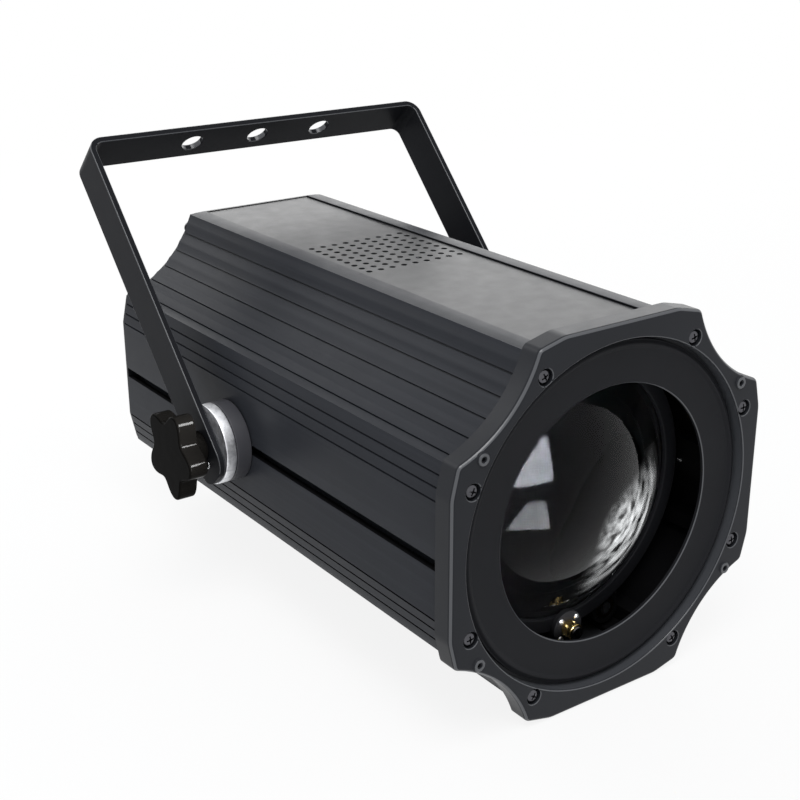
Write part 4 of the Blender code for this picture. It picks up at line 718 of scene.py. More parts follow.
def rectangle(half_x, half_z, ease):
    corners = [(-half_x, -half_z), (half_x, -half_z), (half_x, half_z), (-half_x, half_z)]
    return eased([(x, z, True) for x, z in corners], ease)


def drill(radius, top, bottom):
    """The profile of a plain round tool between two heights."""
    return [(0, top), (radius, top), (radius, bottom), (0, bottom)]


def quarters(near, far):
    return [(x * near, z * far) for x in (-1, 1) for z in (-1, 1)]


def mirrored_x(points):
    return [(-x, z) for x, z in reversed(points)]


def mirrored_z(points):
    return [(x, -z) for x, z in reversed(points)]


class CornerArc:
    """The arc between two points that bows towards the optical axis."""

    def __init__(self, start, end, sag):
        start, end = Vector(start), Vector(end)
        chord = end - start
        inward = Vector((chord.y, -chord.x)).normalized()
        if inward.dot(start) > 0:
            inward = -inward
        self.radius = (chord.length ** 2 / 4 + sag ** 2) / (2 * sag)
        self.centre = (start + end) / 2 - inward * (self.radius - sag)
        first, last = start - self.centre, end - self.centre
        self.first_angle = atan2(first.y, first.x)
        self.sweep = atan2(first.cross(last), first.dot(last))
        self.length = abs(self.sweep) * self.radius

    def at(self, fraction, inward=0.0):
        angle = self.first_angle + fraction * self.sweep
        return tuple(self.centre + (self.radius + inward) * Vector((cos(angle), sin(angle))))

    def points(self, segments, inward=0.0):
        return [self.at(i / segments, inward) for i in range(segments + 1)]


def rounded_slab(name, outline, depth, edge, steps=7):
    """A slab from y = 0 to the depth, its front edge rounded by lofting drawn-in outlines."""
    count = len(outline)
    points = [Vector(point) for point in outline]
    inward = []
    for i, point in enumerate(points):
        before = (point - points[i - 1]).normalized()
        after = (points[(i + 1) % count] - point).normalized()
        along = (before + after).normalized()
        inward.append(Vector((along.y, -along.x)) / max(0.5, along.dot(after)))
    if inward[0].dot(points[0]) > 0:
        inward = [-direction for direction in inward]
    levels = [(0.0, depth)]
    for step in range(steps + 1):
        turn = pi / 2 * step / steps
        levels.append((edge * (1 - cos(turn)), edge * (1 - sin(turn))))
    vertices, faces = [], []
    for draw, y in levels:
        for point, way in zip(points, inward):
            vertices.append((point.x + way.x * draw, y, point.y + way.y * draw))
    for level in range(len(levels) - 1):
        base = level * count
        for i in range(count):
            j = (i + 1) % count
            faces.append((base + i, base + j, base + count + j, base + count + i))
    faces.append(tuple(range(count)))
    last = (len(levels) - 1) * count
    faces.append(tuple(range(last, last + count)))
    return new_mesh(name, vertices, faces)


def bezel_outline():
    drop = BEZEL_HALF - BEZEL_CHAMFER_DROP
    arc = CornerArc((BEZEL_TIP, drop), (drop, BEZEL_TIP), BEZEL_SAG)
    straight = BEZEL_TIP - BEZEL_CHAMFER_RUN
    tips = arc.points(40)
    corner = [(straight, BEZEL_HALF, True), (*tips[0], True), *tips[2:-2], (*tips[-1], True)]
    corner.append((BEZEL_HALF, straight, True))
    quarter = eased([(0, BEZEL_HALF), *corner, (BEZEL_HALF, 0)], BEZEL_TIP_EASE)[1:-1]
    right = quarter + mirrored_z(quarter)
    return right + mirrored_x(right)


def screw_places():
    return quarters(SCREW_NEAR, SCREW_FAR) + quarters(SIDE_SCREW_FAR, SIDE_SCREW_NEAR)


def turned_at(name, profile, places, sides=ROUND_HOLE, matrix=FACE_FRONT):
    """One mesh with the same turned shape at each place."""
    return joined(name, [lathe("single", profile, sides, False, matrix, place) for place in places])


def on_rounded_edge(centre, normal):
    """The faces that get a painted highlight: the middle of the bezel's rounded edges, and the recess's
    wall, which catches the light.
    """
    reach = Vector((centre.x, centre.z)).length
    outside = reach > RECESS_RADIUS + RECESS_LIP * 1.5 and 0 < centre.y < BEZEL_EDGE
    lip = RECESS_RADIUS < reach < RECESS_RADIUS + RECESS_LIP and centre.y > 0
    wall = abs(reach - RECESS_RADIUS) < RECESS_TOLERANCE and 0 < centre.y < RECESS_DEPTH
    slanted, upright = 0.35 < -normal.y < 0.9, abs(normal.y) < 0.1
    return ((outside or lip) and slanted) or (wall and upright)


def add_bosses(obj):
    """Low round pads beside the octagon's tips."""
    top, radius = BOSS_HEIGHT, BOSS_RADIUS
    profile = [
        (0, top), (BOSS_TOP_RADIUS * 0.7, top), (BOSS_TOP_RADIUS, top * 0.85), (radius, -top * 0.5),
        (radius, -top * 3), (0, -top * 3),
    ]
    combine(obj, turned_at("bosses", profile, quarters(BOSS_ACROSS, BOSS_UP)), "UNION")


def cut_recess(obj):
    """The recess for the aperture plate, with a rounded lip, and the bore behind it."""
    over, lip, radius = BEZEL_DEPTH, RECESS_LIP, RECESS_RADIUS
    turns = (pi / 2, 1.2, 0.8, 0.4, 0)
    rounds = [(radius + lip * (1 - cos(turn)), -lip * (1 - sin(turn))) for turn in turns]
    profile = [(0, over), (radius + lip, over), *rounds, (radius, -RECESS_DEPTH), (0, -RECESS_DEPTH)]
    combine(obj, lathe("recess", profile, ROUND_LARGE))
    combine(obj, lathe("bore", drill(LEDGE_RADIUS, over, -over * 2), ROUND_LARGE))


def cut_bezel_holes(obj):
    """The counterbored screw holes and the holes in the bosses."""
    over, radius, shank = BEZEL_DEPTH, COUNTERBORE_RADIUS, SHANK_RADIUS + RUNNING
    flare = radius + COUNTERBORE_EASE + over
    stepped = [
        (0, over), (flare, over), (radius, -COUNTERBORE_EASE), (radius, -COUNTERBORE_DEPTH),
        (shank, -COUNTERBORE_DEPTH), (shank, -over * 2), (0, -over * 2),
    ]
    combine(obj, turned_at("counterbores", stepped, screw_places()))
    hole = drill(BOSS_HOLE_RADIUS, over, -BOSS_HOLE_DEPTH)
    combine(obj, turned_at("boss_holes", hole, quarters(BOSS_ACROSS, BOSS_UP), ROUND_SHANK))


def make_bezel():
    mesh = rounded_slab("front_bezel_fine", bezel_outline(), BEZEL_DEPTH, BEZEL_EDGE)
    obj = piece("bezel", mesh, BEZEL_PAINT, "housing", ["front_bezel"], "body_paint")
    add_bosses(obj)
    cut_recess(obj)
    cut_bezel_holes(obj)
    # Painted highlight: the rounded edges and the recess's wall get the lighter paint
    finish_faces(obj, EDGE_HIGHLIGHT_PAINT, on_rounded_edge)
    face_weighted(obj, 28)


def screw_mesh(name, radius, height, shank, length):
    """A pan head with a cross recess, its seat at z = 0."""
    turns = (0, 0.3, 0.6, 0.9, 1.15, 1.4, pi / 2)
    rim = height * HEAD_RIM_SHARE
    dome = [(radius * sin(turn), rim + (height - rim) * cos(turn)) for turn in turns]
    profile = [*dome, (radius, 0), (shank, 0), (shank, -length), (0, -length)]
    obj = placed(name, lathe(name, profile, ROUND_HEAD, matrix=WORLD))
    arm, half, depth = radius * 0.56, radius * 0.11, radius * 0.42
    core, over = radius * 0.2, height * 2
    for turn in (0, pi / 2):
        wing = box_mesh("wing", (-arm, -half, height - depth), (arm, half, over))
        wing.transform(turned(turn, "Z"))
        combine(obj, wing)
    middle = [(0, over), (core * 1.5, over), (core, height - depth * 1.2), (0, height - depth * 1.4)]
    combine(obj, lathe("core", middle, ROUND_CORE, matrix=WORLD))
    mesh = obj.data
    bpy.data.objects.remove(obj)
    return mesh


def set_screw(name, shape, seat, turn, *looks, **more):
    """A copy of a screw on a seat that faces +Z, turned by an angle."""
    mesh = shape.copy()
    mesh.transform(seat @ turned(turn, "Z"))
    piece(name, mesh, *looks, **more)


def make_screws():
    """The screws of the bezel, the rear panel and the clamp discs, each turned its own way."""
    turns = random.Random(7)
    shape = screw_mesh("pan_head", *PAN_HEAD)
    seats = [
        (f"bezel_screw_{number}", moved(x, COUNTERBORE_DEPTH - SEAT, z) @ FACE_FRONT)
        for number, (x, z) in enumerate(screw_places(), 1)
    ]
    seats += [
        (f"rear_screw_{number}", moved(x, BODY_LENGTH + SEAT, z) @ FACE_BACK)
        for number, (x, z) in enumerate(quarters(SCREW_NEAR, SCREW_FAR), 1)
    ]
    for node, seat in seats:
        turn = turns.uniform(0, pi)
        set_screw("fine_" + node, shape, seat, turn, SCREW_BLACK, "housing", [node], "screw_black")
    shape = screw_mesh("disc_screw", *DISC_SCREW)
    for name, side in (("left", -1), ("right", 1)):
        seat = moved(side * (YOKE_OUTER + SEAT), 0, -DISC_SCREW_OUT) @ turned(side * pi / 2, "Y")
        node = f"disc_screw_{name}"
        set_screw("fine_" + node, shape, seat, turns.uniform(0, pi), STEEL, "yoke", [node], "steel", PIVOT)


def on_bore_edge(centre, normal):
    """The aperture's chamfer, which gets a painted highlight."""
    return Vector((centre.x, centre.z)).length < APERTURE_RADIUS + PLATE_EDGE and 0.3 < -normal.y < 0.9


def make_aperture_plate():
    """The matt ring, with a soft ridge round its rim."""
    profile = [(APERTURE_RADIUS, -PLATE_BACK), (APERTURE_RADIUS, -PLATE_FRONT - PLATE_EDGE)]
    profile.append((APERTURE_RADIUS + PLATE_EDGE, -PLATE_FRONT))
    start = PLATE_RIDGE_RADIUS - PLATE_RIDGE_WIDTH / 2
    steps = 14
    for step in range(steps + 1):
        rise = PLATE_RIDGE_HEIGHT * sin(pi * step / steps) ** 2
        profile.append((start + PLATE_RIDGE_WIDTH * step / steps, -PLATE_FRONT + rise))
    profile += [(PLATE_RIM_RADIUS, -PLATE_FRONT - PLATE_RIM_DROP), (PLATE_RIM_RADIUS, -PLATE_BACK)]
    mesh = lathe("aperture_ring", profile, ROUND_LARGE, ring=True)
    ring = piece("aperture_ring", mesh, MATT_BLACK, "housing", ["aperture_plate"], "matt_black")
    # Painted highlight: a lighter paint on the aperture's chamfer
    finish_faces(ring, EDGE_HIGHLIGHT_PAINT, on_bore_edge)


def stepped_corner():
    """The corner's steps: narrow grooves, and a low ridge halfway between two of them."""
    arc = CornerArc(TOP_TIP, SIDE_TIP, BODY_SAG)
    period = 1 / CORNER_PERIODS
    half = GROOVE_WIDTH / 2 / arc.length
    grooves = [number * period for number in range(1, int(CORNER_PERIODS) + 1)]
    points = [arc.at(0)]
    edge = 0.0
    for groove in [*grooves, None]:
        end = 1.0 if groove is None else groove - half
        ridge = edge + period / 2 - (half if edge else 0)
        for i in range(1, 12):
            fraction = edge + (end - edge) * i / 12
            near = max(0.0, 1 - abs(fraction - ridge) / (period * RIDGE_SPREAD))
            points.append(arc.at(fraction, -RIDGE_HEIGHT * near ** RIDGE_SHARPNESS))
        if groove is None:
            break
        points.append(arc.at(end))
        points += [arc.at(groove + part * half, GROOVE_DEPTH) for part in (-0.7, -0.2, 0.2, 0.7)]
        points.append(arc.at(groove + half))
        edge = groove + half
    points.append(arc.at(1))
    return points


def side_band():
    """The narrow grooves in the side wall, above its widest part."""
    lowest = SIDE_GROOVE_TOP - (SIDE_GROOVES - 1) * SIDE_GROOVE_PITCH
    slope = (BODY_SIDE - SIDE_TIP[0]) / (SIDE_TIP[1] - lowest)
    half = GROOVE_WIDTH / 2
    points = []
    for number in range(SIDE_GROOVES):
        z = SIDE_GROOVE_TOP - number * SIDE_GROOVE_PITCH
        x = SIDE_TIP[0] + slope * (SIDE_TIP[1] - z)
        points.append((x - slope * half, z + half))
        points += [(x - GROOVE_DEPTH, z + part * half) for part in (0.7, -0.7)]
        points.append((min(x + slope * half, BODY_SIDE), z - half))
    return points


def body_outline():
    """The right extrusion's section: its edge, then the holes for the screws at either end."""
    arc = CornerArc(TOP_TIP, SIDE_TIP, BODY_SAG)
    lip = [(LIP_X, LIP_Z - LIP_DEPTH), (LIP_X, LIP_Z, True)]
    lip.append((TOP_TIP[0] - LIP_FALL_WIDTH, LIP_Z - LIP_FALL))
    upper = [*eased(lip, BODY_EASE), *stepped_corner(), *side_band()]
    mouth, cavity = SLOT_WIDTH / 2, SLOT_CAVITY_WIDTH / 2
    out = BODY_SIDE - BODY_WALL
    deep = out - SLOT_CAVITY_DEPTH
    channel, back = cavity + SLOT_WALL, deep - SLOT_WALL
    half = [(BODY_SIDE, channel), (BODY_SIDE, mouth, True), (out, mouth), (out, cavity), (deep, cavity)]
    slot = [(x, SLOT_Z + z, *round_off) for x, z, *round_off in half]
    slot += [(x, SLOT_Z - z, *round_off) for x, z, *round_off in reversed(half)]
    slot = eased(slot, BODY_EASE)[1:-1]
    wall, lug = BODY_WALL + GROOVE_DEPTH, LUG_WIDTH / 2
    ledge_top = ROOF_Z - ROOF_THICKNESS - SEAT
    ledge_tip, under = LIP_X - LEDGE_WIDTH, ledge_top - LEDGE_THICKNESS
    inner = [
        (out, SIDE_SCREW_NEAR - lug), (SIDE_SCREW_FAR - lug, SIDE_SCREW_NEAR - lug),
        (SIDE_SCREW_FAR - lug, SIDE_SCREW_NEAR + lug), *[arc.at(fraction, wall) for fraction in INNER_ARC],
        (SCREW_NEAR - lug, SCREW_FAR - lug), (SCREW_NEAR - lug, under),
        (ledge_tip, under), (ledge_tip, ledge_top), (LIP_X, ledge_top),
    ]
    around = [
        (out, SLOT_Z - channel), (back, SLOT_Z - channel),
        (back, SLOT_Z + channel), (out, SLOT_Z + channel),
    ]
    edge = upper + slot + mirrored_z(upper) + mirrored_z(inner) + around + inner
    places = ((SCREW_NEAR, SCREW_FAR), (SIDE_SCREW_FAR, SIDE_SCREW_NEAR))
    holes = [circle(LUG_HOLE_RADIUS, ROUND_SHANK, (x, side * z)) for x, z in places for side in (-1, 1)]
    return [edge, *holes]


def faces_axis(centre, normal):
    """True of the inside of the shell and of the walls of its grooves, which take near-black paint as
    painted shade.
    """
    return normal.x * centre.x + normal.z * centre.z < -TOWARDS_AXIS


def make_body():
    length = BODY_REAR - BODY_FRONT
    shift = moved(0, (BODY_REAR + BODY_FRONT) / 2, 0)
    for name, turn in (("right", False), ("left", True)):
        loops = body_outline()
        if turn:
            loops = [mirrored_x(loop) for loop in loops]
        title = f"extrusion_{name}"
        mesh = flat_mesh(title, loops, length, shift @ FACE_FRONT)
        obj = piece(title, mesh, BODY_PAINT, "housing", [f"body_{name}"], "body_paint", limit=22)
        # Painted shade: the faces towards the axis, inside the shell and in the grooves, are near-black
        finish_faces(obj, PAINTED_SHADE_BLACK, faces_axis)


def make_top_plate():
    half = LIP_X - SEAT
    edge = [(-half, BODY_FRONT), (half, BODY_FRONT), (half, BODY_REAR), (-half, BODY_REAR)]
    middle = (VENT_COUNT - 1) / 2
    vents = [
        circle(VENT_RADIUS, ROUND_VENT, ((i - middle) * VENT_PITCH_X, VENT_FIRST_Y + j * VENT_PITCH_Y))
        for i in range(VENT_COUNT)
        for j in range(VENT_COUNT)
    ]
    shift = moved(0, 0, ROOF_Z - ROOF_THICKNESS / 2)
    mesh = flat_mesh("roof_sheet", [edge, *vents], ROOF_THICKNESS, shift)
    piece("roof_sheet", mesh, PLATE_PAINT, "housing", ["top_plate"], "plate_paint")


def on_strap_edge(centre, normal):
    """The strap's rounded edges, which get a painted highlight."""
    across = abs(normal.x) if centre.z < YOKE_REACH - YOKE_BEND else max(abs(normal.x), abs(normal.z))
    return abs(normal.y) > 0.3 and across > 0.3


def strap_outline():
    """The strap seen from the front: along its outer face, and back along its inner one."""
    corner, level = YOKE_OUTER - YOKE_BEND, YOKE_REACH - YOKE_BEND
    turns = [pi / 2 * i / 16 for i in range(17)]
    sides = []
    for thickness in (0, YOKE_THICKNESS):
        bend = YOKE_BEND - thickness
        side = [(YOKE_OUTER - thickness, -YOKE_TAIL)]
        side += [(corner + bend * cos(turn), level + bend * sin(turn)) for turn in turns]
        sides.append(side + mirrored_x(side))
    outer, inner = sides
    return outer + list(reversed(inner))


def arm_ends():
    """The waste below both arms' rounded ends, seen from the side."""
    half, over = YOKE_WIDTH / 2, YOKE_END_ROUND
    flat, base, low = half - YOKE_END_ROUND, YOKE_END_ROUND - YOKE_TAIL, -YOKE_TAIL - over
    turns = [pi + pi / 2 * i / 12 for i in range(13)]
    left = [(-flat + YOKE_END_ROUND * cos(turn), base + YOKE_END_ROUND * sin(turn)) for turn in turns]
    outside = [(half + over, base), (half + over, low), (-half - over, low), (-half - over, base)]
    side_view = Matrix(((0, 0, 1, 0), (1, 0, 0, 0), (0, 1, 0, 0), (0, 0, 0, 1)))
    loop = left + mirrored_x(left) + outside
    return flat_mesh("arm_ends", [loop], 2 * YOKE_OUTER + YOKE_THICKNESS, side_view)


def make_yoke():
    mesh = flat_mesh("yoke_strap", [strap_outline()], YOKE_WIDTH)
    obj = piece("yoke_strap", mesh, YOKE_PAINT, "yoke", ["yoke"], "plate_paint", PIVOT)
    combine(obj, arm_ends())
    across = 2 * YOKE_OUTER + YOKE_THICKNESS
    along_x = turned(pi / 2, "Y")
    hole = drill(STUD_HOLE_RADIUS, across, -across)
    combine(obj, lathe("pivots", hole, ROUND_HOLE, matrix=along_x))
    hole = drill(DISC_SCREW_HOLE_RADIUS, across, -across)
    at_screws = moved(0, 0, -DISC_SCREW_OUT)
    combine(obj, lathe("screws", hole, ROUND_SHANK, matrix=at_screws @ along_x))
    hole = drill(YOKE_HOLE_RADIUS, YOKE_REACH + YOKE_THICKNESS, YOKE_REACH - YOKE_THICKNESS * 2)
    places = [(number * YOKE_HOLE_PITCH, 0.0) for number in (-1, 0, 1)]
    combine(obj, turned_at("bar_holes", hole, places, ROUND_HUB, WORLD))
    bevelled(obj, YOKE_EDGE)
    # Painted highlight: a lighter paint on the strap's rounded edges
    finish_faces(obj, EDGE_HIGHLIGHT_PAINT, on_strap_edge)
    face_weighted(obj, 30)


def disc_profile(thickness):
    inner, outer = STUD_HOLE_RADIUS, DISC_RADIUS
    return eased([(inner, 0), (inner, thickness), (outer, thickness, True), (outer, 0, True)], DISC_EDGE)


def star_outline(steps=24):
    """Five rounded lobes, the first along +Y, which is down once the outline faces outward."""
    middle, swing = (KNOB_RADIUS + KNOB_WAIST) / 2, (KNOB_RADIUS - KNOB_WAIST) / 2
    outline = []
    for i in range(KNOB_LOBES * steps):
        turn = 2 * pi * i / (KNOB_LOBES * steps)
        reach = middle + swing * cos(KNOB_LOBES * (turn - pi / 2))
        outline.append((reach * cos(turn), reach * sin(turn)))
    return outline


def make_discs(name, side):
    """The friction disc, which slides with the pivot, and the clamp disc, which tilts with the yoke."""
    outward = turned(side * pi / 2, "Y")
    friction_in = BODY_SIDE + SEAT
    clamp_in = friction_in + FRICTION_DISC_THICKNESS + SEAT
    profile = disc_profile(FRICTION_DISC_THICKNESS)
    place = AT_PIVOT @ moved(side * friction_in, 0, 0) @ outward
    mesh = lathe(f"friction_{name}", profile, ROUND_DISC, ring=True, matrix=place)
    node = f"friction_disc_{name}"
    piece(f"friction_{name}", mesh, FRICTION, "pivot_carriage", [node], "friction_pad")
    profile = disc_profile(YOKE_OUTER - YOKE_THICKNESS - SEAT - clamp_in)
    place = moved(side * clamp_in, 0, 0) @ outward
    mesh = lathe(f"clamp_{name}", profile, ROUND_DISC, ring=True, matrix=place)
    node = f"clamp_disc_{name}"
    piece(f"clamp_{name}", mesh, CAST_ALUMINIUM, "yoke", [node], "bare_aluminium", PIVOT)


def make_knob(name, side):
    outward = turned(side * pi / 2, "Y")
    start = YOKE_OUTER + SEAT
    middle = KNOB_HUB_LENGTH + KNOB_THICKNESS / 2
    centre = moved(side * (start + middle), 0, 0)
    spin = turned(-KNOB_PHASE, "X")
    turn = outward @ turned(-side * pi / 2, "Z")
    title = f"star_knob_{name}"
    mesh = flat_mesh(title, [star_outline()], KNOB_THICKNESS, AT_PIVOT @ centre @ spin @ turn)
    knob = piece(title, mesh, KNOB_GLOSS, f"knob_{name}", [f"knob_{name}"], "knob_plastic")
    bevelled(knob, KNOB_EDGE, 5, 50)
    radius, edge = KNOB_HUB_RADIUS, KNOB_HUB_EDGE
    hub = [(0, middle), (radius, middle), (radius, edge), (radius - edge, 0), (0, 0)]
    place = AT_PIVOT @ moved(side * start, 0, 0) @ outward
    combine(knob, lathe("hub", hub, ROUND_HUB, matrix=place), "UNION")
    face_weighted(knob, 40)


def make_lens():
    radius = LENS_RADIUS - RETAINER_OVERLAP - SEAT
    curvature = (radius ** 2 + LENS_SAG ** 2) / (2 * LENS_SAG)
    turns = [acos(1 - LENS_SAG / curvature) * i / 48 for i in range(49)]
    dome = [(curvature * sin(turn), curvature * cos(turn) - curvature + LENS_SAG) for turn in turns]
    profile = [*dome, (LENS_RADIUS, 0), (LENS_RADIUS, -LENS_EDGE), (0, -LENS_EDGE)]
    mesh = lathe("glass_lens", profile, ROUND_LARGE)
    lens = piece("glass_lens", mesh, GLASS, "lens_group", ["lens"], "lens_glass", LENS)
    finish_faces(lens, GLASS_BACK, lambda centre, normal: normal.y > 0.9)


def make_retainer():
    """The ring over the lens's rim, notched for the lead nut."""
    inner, outer, top = LENS_RADIUS - RETAINER_OVERLAP, LENS_HOLDER_RADIUS, SEAT + RETAINER_THICKNESS
    profile = eased([(inner, SEAT), (inner, top, True), (outer, top, True), (outer, SEAT)], RETAINER_EASE)
    mesh = lathe("retainer_ring", profile, ROUND_RING, ring=True)
    ring = piece("retainer_ring", mesh, MATT_BLACK, "lens_group", ["lens_retainer"], "matt_black", LENS)
    notch = drill(NUT_BARREL_RADIUS + RUNNING, top * 3, -top)
    combine(ring, lathe("notch", notch, ROUND_HUB, centre=(0, NUT_Z)))


def make_lead_nut():
    """The lead nut: a brass barrel on a flange painted near-black as painted shade, with four tiny screws.
    """
    seat_y = -(RETAINER_THICKNESS + SEAT * 2)
    flange = NUT_FLANGE_THICKNESS
    barrel = flange + NUT_BARREL_LENGTH
    bore, radius, rim = LEAD_RADIUS + RUNNING, NUT_BARREL_RADIUS, NUT_FLANGE_RADIUS
    corners = [
        (bore, 0), (bore, barrel), (radius, barrel, True), (radius, flange), (rim, flange, True), (rim, 0),
    ]
    place = moved(0, seat_y, NUT_Z) @ FACE_FRONT
    mesh = lathe("brass_nut", eased(corners, NUT_EASE), ROUND_CAP, ring=True, matrix=place)
    nut = piece("brass_nut", mesh, BRASS, "lens_group", ["lead_nut"], "brass", LENS)
    barrel_start = seat_y - flange - SEAT
    # Painted shade: the flange is near-black
    finish_faces(nut, PAINTED_SHADE_BLACK, lambda centre, normal: centre.y > barrel_start)
    shape = screw_mesh("nut_screw", *NUT_SCREW)
    for number, (x, z) in enumerate(quarters(NUT_SCREW_OFFSET, NUT_SCREW_OFFSET), 1):
        seat = moved(x, seat_y - flange - SEAT / 3, NUT_Z + z) @ FACE_FRONT
        name, turn = f"nut_screw_{number}", number * NUT_SCREW_TURN
        set_screw(name, shape, seat, turn, STEEL, "lens_group", slot="steel", matrix=LENS)


def make_lead_screw():
    """The black lead screw with its trapezoidal thread as fine rings."""
    low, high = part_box("lead_screw")
    length = high.y - low.y
    core = LEAD_RADIUS - LEAD_THREAD_DEPTH
    ring = list(zip((core, LEAD_RADIUS, LEAD_RADIUS, core), LEAD_THREAD_STEPS))
    profile = [(0, 0), (core, 0)]
    for number in range(int(length / LEAD_PITCH)):
        profile += [(radius, -(number + step) * LEAD_PITCH) for radius, step in ring]
    profile += [(core, -length), (0, -length)]
    place = moved(0, low.y - FIXTURE.translation.y, NUT_Z) @ FACE_FRONT
    mesh = lathe("threaded_rod", profile, ROUND_HOLE, matrix=place)
    piece("threaded_rod", mesh, SCREW_BLACK, "lead_screw", ["lead_screw"], "screw_black")


def make_wall_studs():
    for number, y in enumerate(WALL_STUD_YS, 1):
        place = moved(WALL_STUD_X, y, WALL_STUD_Z) @ turned(-pi / 2, "Y")
        mesh = lathe(f"wall_stud_{number}", WALL_STUD, ROUND_PIN, matrix=place)
        piece(f"wall_stud_{number}", mesh, STEEL, "housing", slot="steel")


def make_boss_rings():
    """A turned ring round the hole in each boss beside the bezel's tips, in the lighter paint of the
    painted highlights.
    """
    outer = BOSS_TOP_RADIUS - BOSS_RING_INSET
    inner = outer - BOSS_RING_WIDTH
    base, top = BOSS_HEIGHT - BOSS_RING_SUNK, BOSS_HEIGHT + BOSS_RING_PROUD
    corners = [(inner, base), (inner, top, True), (outer, top, True), (outer, base)]
    profile = eased(corners, BOSS_RING_EASE)
    for number, place in enumerate(quarters(BOSS_ACROSS, BOSS_UP), 1):
        name = f"boss_ring_{number}"
        mesh = lathe(name, profile, ROUND_HEAD, ring=True, centre=place)
        # Painted highlight: the rings take the lighter edge paint
        piece(name, mesh, EDGE_HIGHLIGHT_PAINT, "housing", slot="body_paint")


def rear_face(low, high):
    """The frame in the middle of a box's rear face, with +Z pointing back."""
    return moved((low.x + high.x) / 2, high.y, (low.z + high.z) / 2) @ FACE_BACK


def make_pins(name, face, places, radius):
    floor, tip = -SOCKET_BORE_DEPTH + SEAT, -PIN_DROP
    profile = [(0, floor), (radius, floor), (radius, tip - PIN_POINT), (radius / 2, tip), (0, tip)]
    mesh = turned_at(f"{name}_pins", profile, places, ROUND_PIN, face)
    piece(f"{name}_pins", mesh, BRASS, "housing", slot="brass", matrix=WORLD)


def make_insert(name, face, places, radius, bore):
    """A plug of plastic in the socket's bore, with a hole for each pin."""
    core, edge = bore - INSERT_GAP, INSERT_EDGE
    floor, top = -SOCKET_BORE_DEPTH + SEAT, -INSERT_DROP
    profile = [(0, floor), (core, floor), (core, top - edge), (core - edge, top), (0, top)]
    mesh = lathe("insert", profile, ROUND_HUB, matrix=face)
    obj = piece(f"{name}_insert", mesh, PLASTIC, "housing", slot="black_plastic", matrix=WORLD)
    hole = drill(radius, INSERT_HOLE_DEPTH, -INSERT_HOLE_DEPTH)
    combine(obj, turned_at("holes", hole, places, ROUND_PIN, face))


def make_sockets():
    """What shows in the rear sockets: inserts with pins or holes, and the screws in the flanges."""
    shape = screw_mesh("socket_screw", *SOCKET_SCREW)
    for name, bore, circle_radius, pin, male in SOCKETS:
        face = rear_face(*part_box(name + "_socket"))
        places = circle(circle_radius, 3, start=pi / 2)
        if male:
            make_pins(name, face, places, pin)
        else:
            make_insert(name, face, places, pin, bore)
        for number, side in enumerate((-1, 1), 1):
            seat = face @ moved(side * SOCKET_SCREW_X, -side * SOCKET_SCREW_Z, SEAT / 3)
            title, turn = f"{name}_screw_{number}", number * SOCKET_SCREW_TURN
            set_screw(title, shape, seat, turn, SCREW_BLACK, "housing", slot="screw_black", matrix=WORLD)


def make_window_frame():
    """The display's raised frame."""
    loops = [
        rectangle(WINDOW_HALF_WIDTH + wider, WINDOW_HALF_HEIGHT + wider, corner)
        for wider, corner in ((FRAME_WIDTH, FRAME_OUTER_CORNER), (FRAME_GAP, FRAME_INNER_CORNER))
    ]
    seat = moved(0, BODY_LENGTH + SEAT / 3 + FRAME_HEIGHT / 2, WINDOW_Z)
    mesh = flat_mesh("window_frame", loops, FRAME_HEIGHT, seat @ FACE_BACK)
    obj = piece("window_frame", mesh, PLASTIC, "housing", slot="black_plastic")
    bevelled(obj, FRAME_EDGE)
    face_weighted(obj, 30)


def make_button_rings():
    """The buttons' surrounds, a little higher at the button."""
    inner = BUTTON_RADIUS + BUTTON_RING_GAP
    outer = inner + BUTTON_RING_WIDTH
    near, far = BUTTON_RING_INNER_HEIGHT, BUTTON_RING_OUTER_HEIGHT
    profile = eased([(inner, 0), (inner, near, True), (outer, far, True), (outer, 0)], BUTTON_RING_EASE)
    for number in range(BUTTON_COUNT):
        x = (number - (BUTTON_COUNT - 1) / 2) * BUTTON_PITCH
        place = moved(x, BODY_LENGTH + SEAT / 3, BUTTON_Z) @ FACE_BACK
        name = f"button_ring_{number + 1}"
        mesh = lathe(name, profile, ROUND_HUB, ring=True, matrix=place)
        piece(name, mesh, PLASTIC, "housing", slot="black_plastic")


def make_fuse_cap():
    """The fuse holder's slotted cap on its barrel."""
    low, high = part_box("fuse_holder")
    foot, under = low.y - high.y, -FUSE_CAP_PROUD
    radius, barrel = FUSE_CAP_RADIUS, FUSE_BARREL_RADIUS
    top = radius - FUSE_CAP_STEP
    corners = [
        (0, 0), (top, 0, True), (top, under * 0.7), (radius, under * 0.75, True), (radius, under),
        (barrel, under), (barrel, foot), (0, foot),
    ]
    face = rear_face(low, high)
    mesh = lathe("fuse_cap", eased(corners, FUSE_CAP_EASE), ROUND_CAP, matrix=face)
    cap = piece("fuse_cap", mesh, PLASTIC, "housing", ["fuse_holder"], "black_plastic", WORLD)
    slot = box_mesh("slot", [-half for half in FUSE_SLOT], FUSE_SLOT)
    slot.transform(face @ turned(FUSE_SLOT_TURN, "Z"))
    combine(cap, slot)


